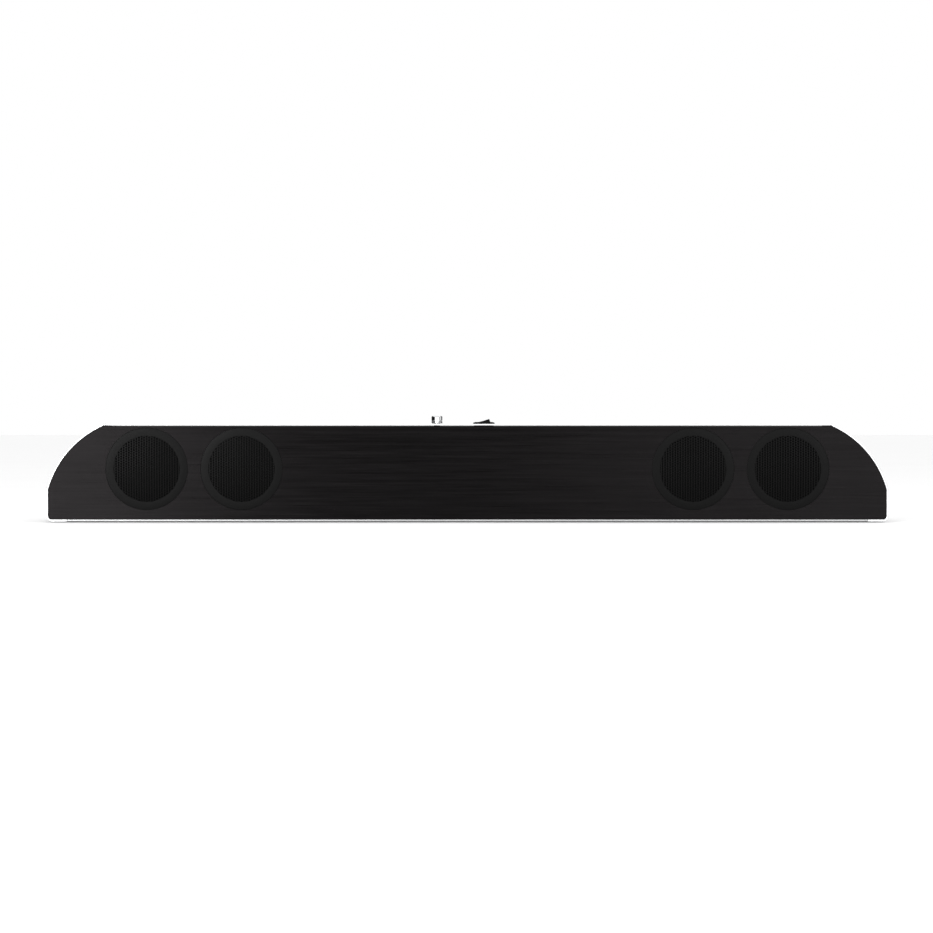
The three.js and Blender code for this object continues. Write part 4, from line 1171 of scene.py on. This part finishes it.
def makeDrivers():
    look = driverLook
    count = look["sectors"]
    rows = [("cone", "cone", "cone_paper", toMesh(coneShape())),
            ("cap", None, "cone_paper", toMesh(capShape())),
            ("coil", "voice_coil", "copper", toMesh(coilShape())),
            ("magnet", "magnet", "ferrite", toMesh(magnetShape())),
            ("basket", "basket", "black_painted_steel", basketShape()),
            ("terminals", None, "black_plastic", toMesh(terminalShape()))]
    sectors = [toMesh(rollSector(index)) for index in range(count)]
    for name, middle in grilleMiddle.items():
        place, body = shift(middle.x, 0, middle.z), f"cone_{name}"
        for part, node, slotName, source in rows:
            rides = body if part in ("cone", "cap", "coil") else "case"
            addPiece(f"driver_{part}_{name}", copied(source, place), rides, [f"{node}_{name}"] if node else [],
                     slotName)
        for index, sector in enumerate(sectors):
            nodes = [] if index else [f"surround_{name}"]
            piece = addPiece(f"driver_roll_{name}_{index + 1}", copied(sector, place), None, nodes,
                             "black_rubber", sharpAngle=look["sharpAngle"])
            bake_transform(piece)
    for mesh in [row[-1] for row in rows] + sectors:
        bpy.data.meshes.remove(mesh)


makeDrivers()
print("drivers made")

# ---- baffle ----

baffleLook = {"counterbore": 39.8, "hole": 36.2, "ledge": 6.7}


def driverBaffle():
    look = baffleLook
    low, high = box("baffle")
    step = low.y + look["ledge"]
    layers = []
    for radius, y0, y1 in ((look["counterbore"], low.y, step), (look["hole"], step, high.y)):
        loops = [barOutline(halfLength - high.x, low.z - floorBottom)]
        loops += [circlePoints(m.x, m.z, radius, 96) for m in grilleMiddle.values()]
        layers.append(wallSlab(loops, y0, y1, 0.1, 1))
    # the baffle wears the near-black coat: black paint, and painted shade where it shows through gaps and holes
    addPiece("driver_baffle", joined(*layers), "case", ["baffle"], "fibreboard",
             extraFinishes["blackPaintAndShadeBoard"])


driverBaffle()
print("baffle made")

# ---- studio ----

studioLook = {
    "floorShade": 0.92, "worldSeen": 1.0, "worldLight": 0.22, "sun": 2.8, "sunAngle": 110, "sunTilt": 15,
    "flagRadius": 1.3, "flagHeight": 0.9, "flagStart": 48, "flagEnd": 150, "flagSteps": 24,
}
panelLooks = {  # each faces the bar from beside the camera
    "leftPanel": {"at": (-1.38, -3.6, 0.62), "size": (1.6, 1.2), "watts": 88},
    "rightPanel": {"at": (1.4, -3.6, 0.62), "size": (1.6, 1.2), "watts": 40},
    "middlePanel": {"at": (0.4, -3.6, 0.62), "size": (0.4, 1.2), "watts": 6},
    "sidePanel": {"at": (3.0, -0.9, 0.82), "size": (2.6, 1.6), "watts": 11},
}


def stagePiece(name, shape, material):
    mesh = bpy.data.meshes.new(name)
    shape.to_mesh(mesh)
    shape.free()
    mesh.materials.append(material)
    piece = linked(name, mesh)
    return piece


def makeFlag():
    # a black curved screen on the left that shows only in reflections
    look = studioLook
    shape = bmesh.new()
    columns = []
    for y, x in arcPoints((0, 0), -look["flagRadius"], look["flagStart"], look["flagEnd"], look["flagSteps"]):
        columns.append([shape.verts.new((x, y, z)) for z in (mm, look["flagHeight"])])
    for one, two in zip(columns, columns[1:]):
        shape.faces.new((one[0], two[0], two[1], one[1]))
    p = Paint("blackCloth")
    color = p.ramp(p.noise(p.place, 40, 2, 0.5), (0.3, 0.004), (0.7, 0.008))
    flag = stagePiece("flag", shape, p.finish(Base_Color=color, Roughness=0.9, Specular_IOR_Level=0.1))
    flag.visible_camera = flag.visible_diffuse = flag.visible_shadow = False


def makeStudio():
    look = studioLook
    floor = bmesh.new()
    bmesh.ops.create_grid(floor, x_segments=8, y_segments=8, size=40)
    p = Paint("paleFloor")
    shade = look["floorShade"]
    color = p.ramp(p.noise(p.place, 3, 3, 0.5), (0.3, shade * 0.985), (0.7, shade))
    stagePiece("floor", floor, p.finish(Base_Color=color, Roughness=0.8, Specular_IOR_Level=0.1))

    world = bpy.data.worlds.new("studio")
    bpy.context.scene.world = world
    w = Paint(None, world)
    seenByCamera = w.add("ShaderNodeLightPath", output="Is Camera Ray")
    light, seen = (w.add("ShaderNodeBackground", None, (1, 1, 1, 1), look[k])
                   for k in ("worldLight", "worldSeen"))
    both = w.add("ShaderNodeMixShader", None, seenByCamera, light, seen)
    w.add("ShaderNodeOutputWorld", None, Surface=both)

    sun = bpy.data.lights.new("overhead", "SUN")
    sun.energy, sun.angle = look["sun"], math.radians(look["sunAngle"])
    linked("overhead", sun).rotation_euler = (math.radians(look["sunTilt"]), 0, 0)

    for name, panel in panelLooks.items():
        area = bpy.data.lights.new(name, "AREA")
        area.shape, (area.size, area.size_y) = "RECTANGLE", panel["size"]
        area.energy = panel["watts"]
        x, y, _ = panel["at"]
        lamp = linked(name, area)
        lamp.location = panel["at"]
        lamp.rotation_euler = Vector((x, y, 0)).to_track_quat("Z", "Y").to_euler()
        lamp.visible_camera = False


cameraLook = {"distance": 3.0, "elevation": 0.7, "lens": 120.3, "sensor": 36, "aimX": -0.0008, "aimZ": 0.0538}


def makeCamera():
    look = cameraLook
    data = bpy.data.cameras.new("camera")
    data.lens, data.sensor_width = look["lens"], look["sensor"]
    data.clip_start, data.clip_end = 0.05, 200
    camera = linked("camera", data)
    tilt = math.radians(look["elevation"])
    aim = Vector((look["aimX"], plateLow.y * mm, look["aimZ"]))
    back = Vector((0, -math.cos(tilt), math.sin(tilt)))
    camera.location = aim + back * look["distance"]
    camera.rotation_euler = back.to_track_quat("Z", "Y").to_euler()
    bpy.context.scene.camera = camera


bpy.context.scene.view_settings.view_transform = "Standard"
makeStudio()
makeFlag()
makeCamera()

for name, node in frame["nodes"].items():
    node.data.materials.clear()
    node.data.materials.append(finishes[slotOf[name]])
print("finishes on the carried-over nodes")
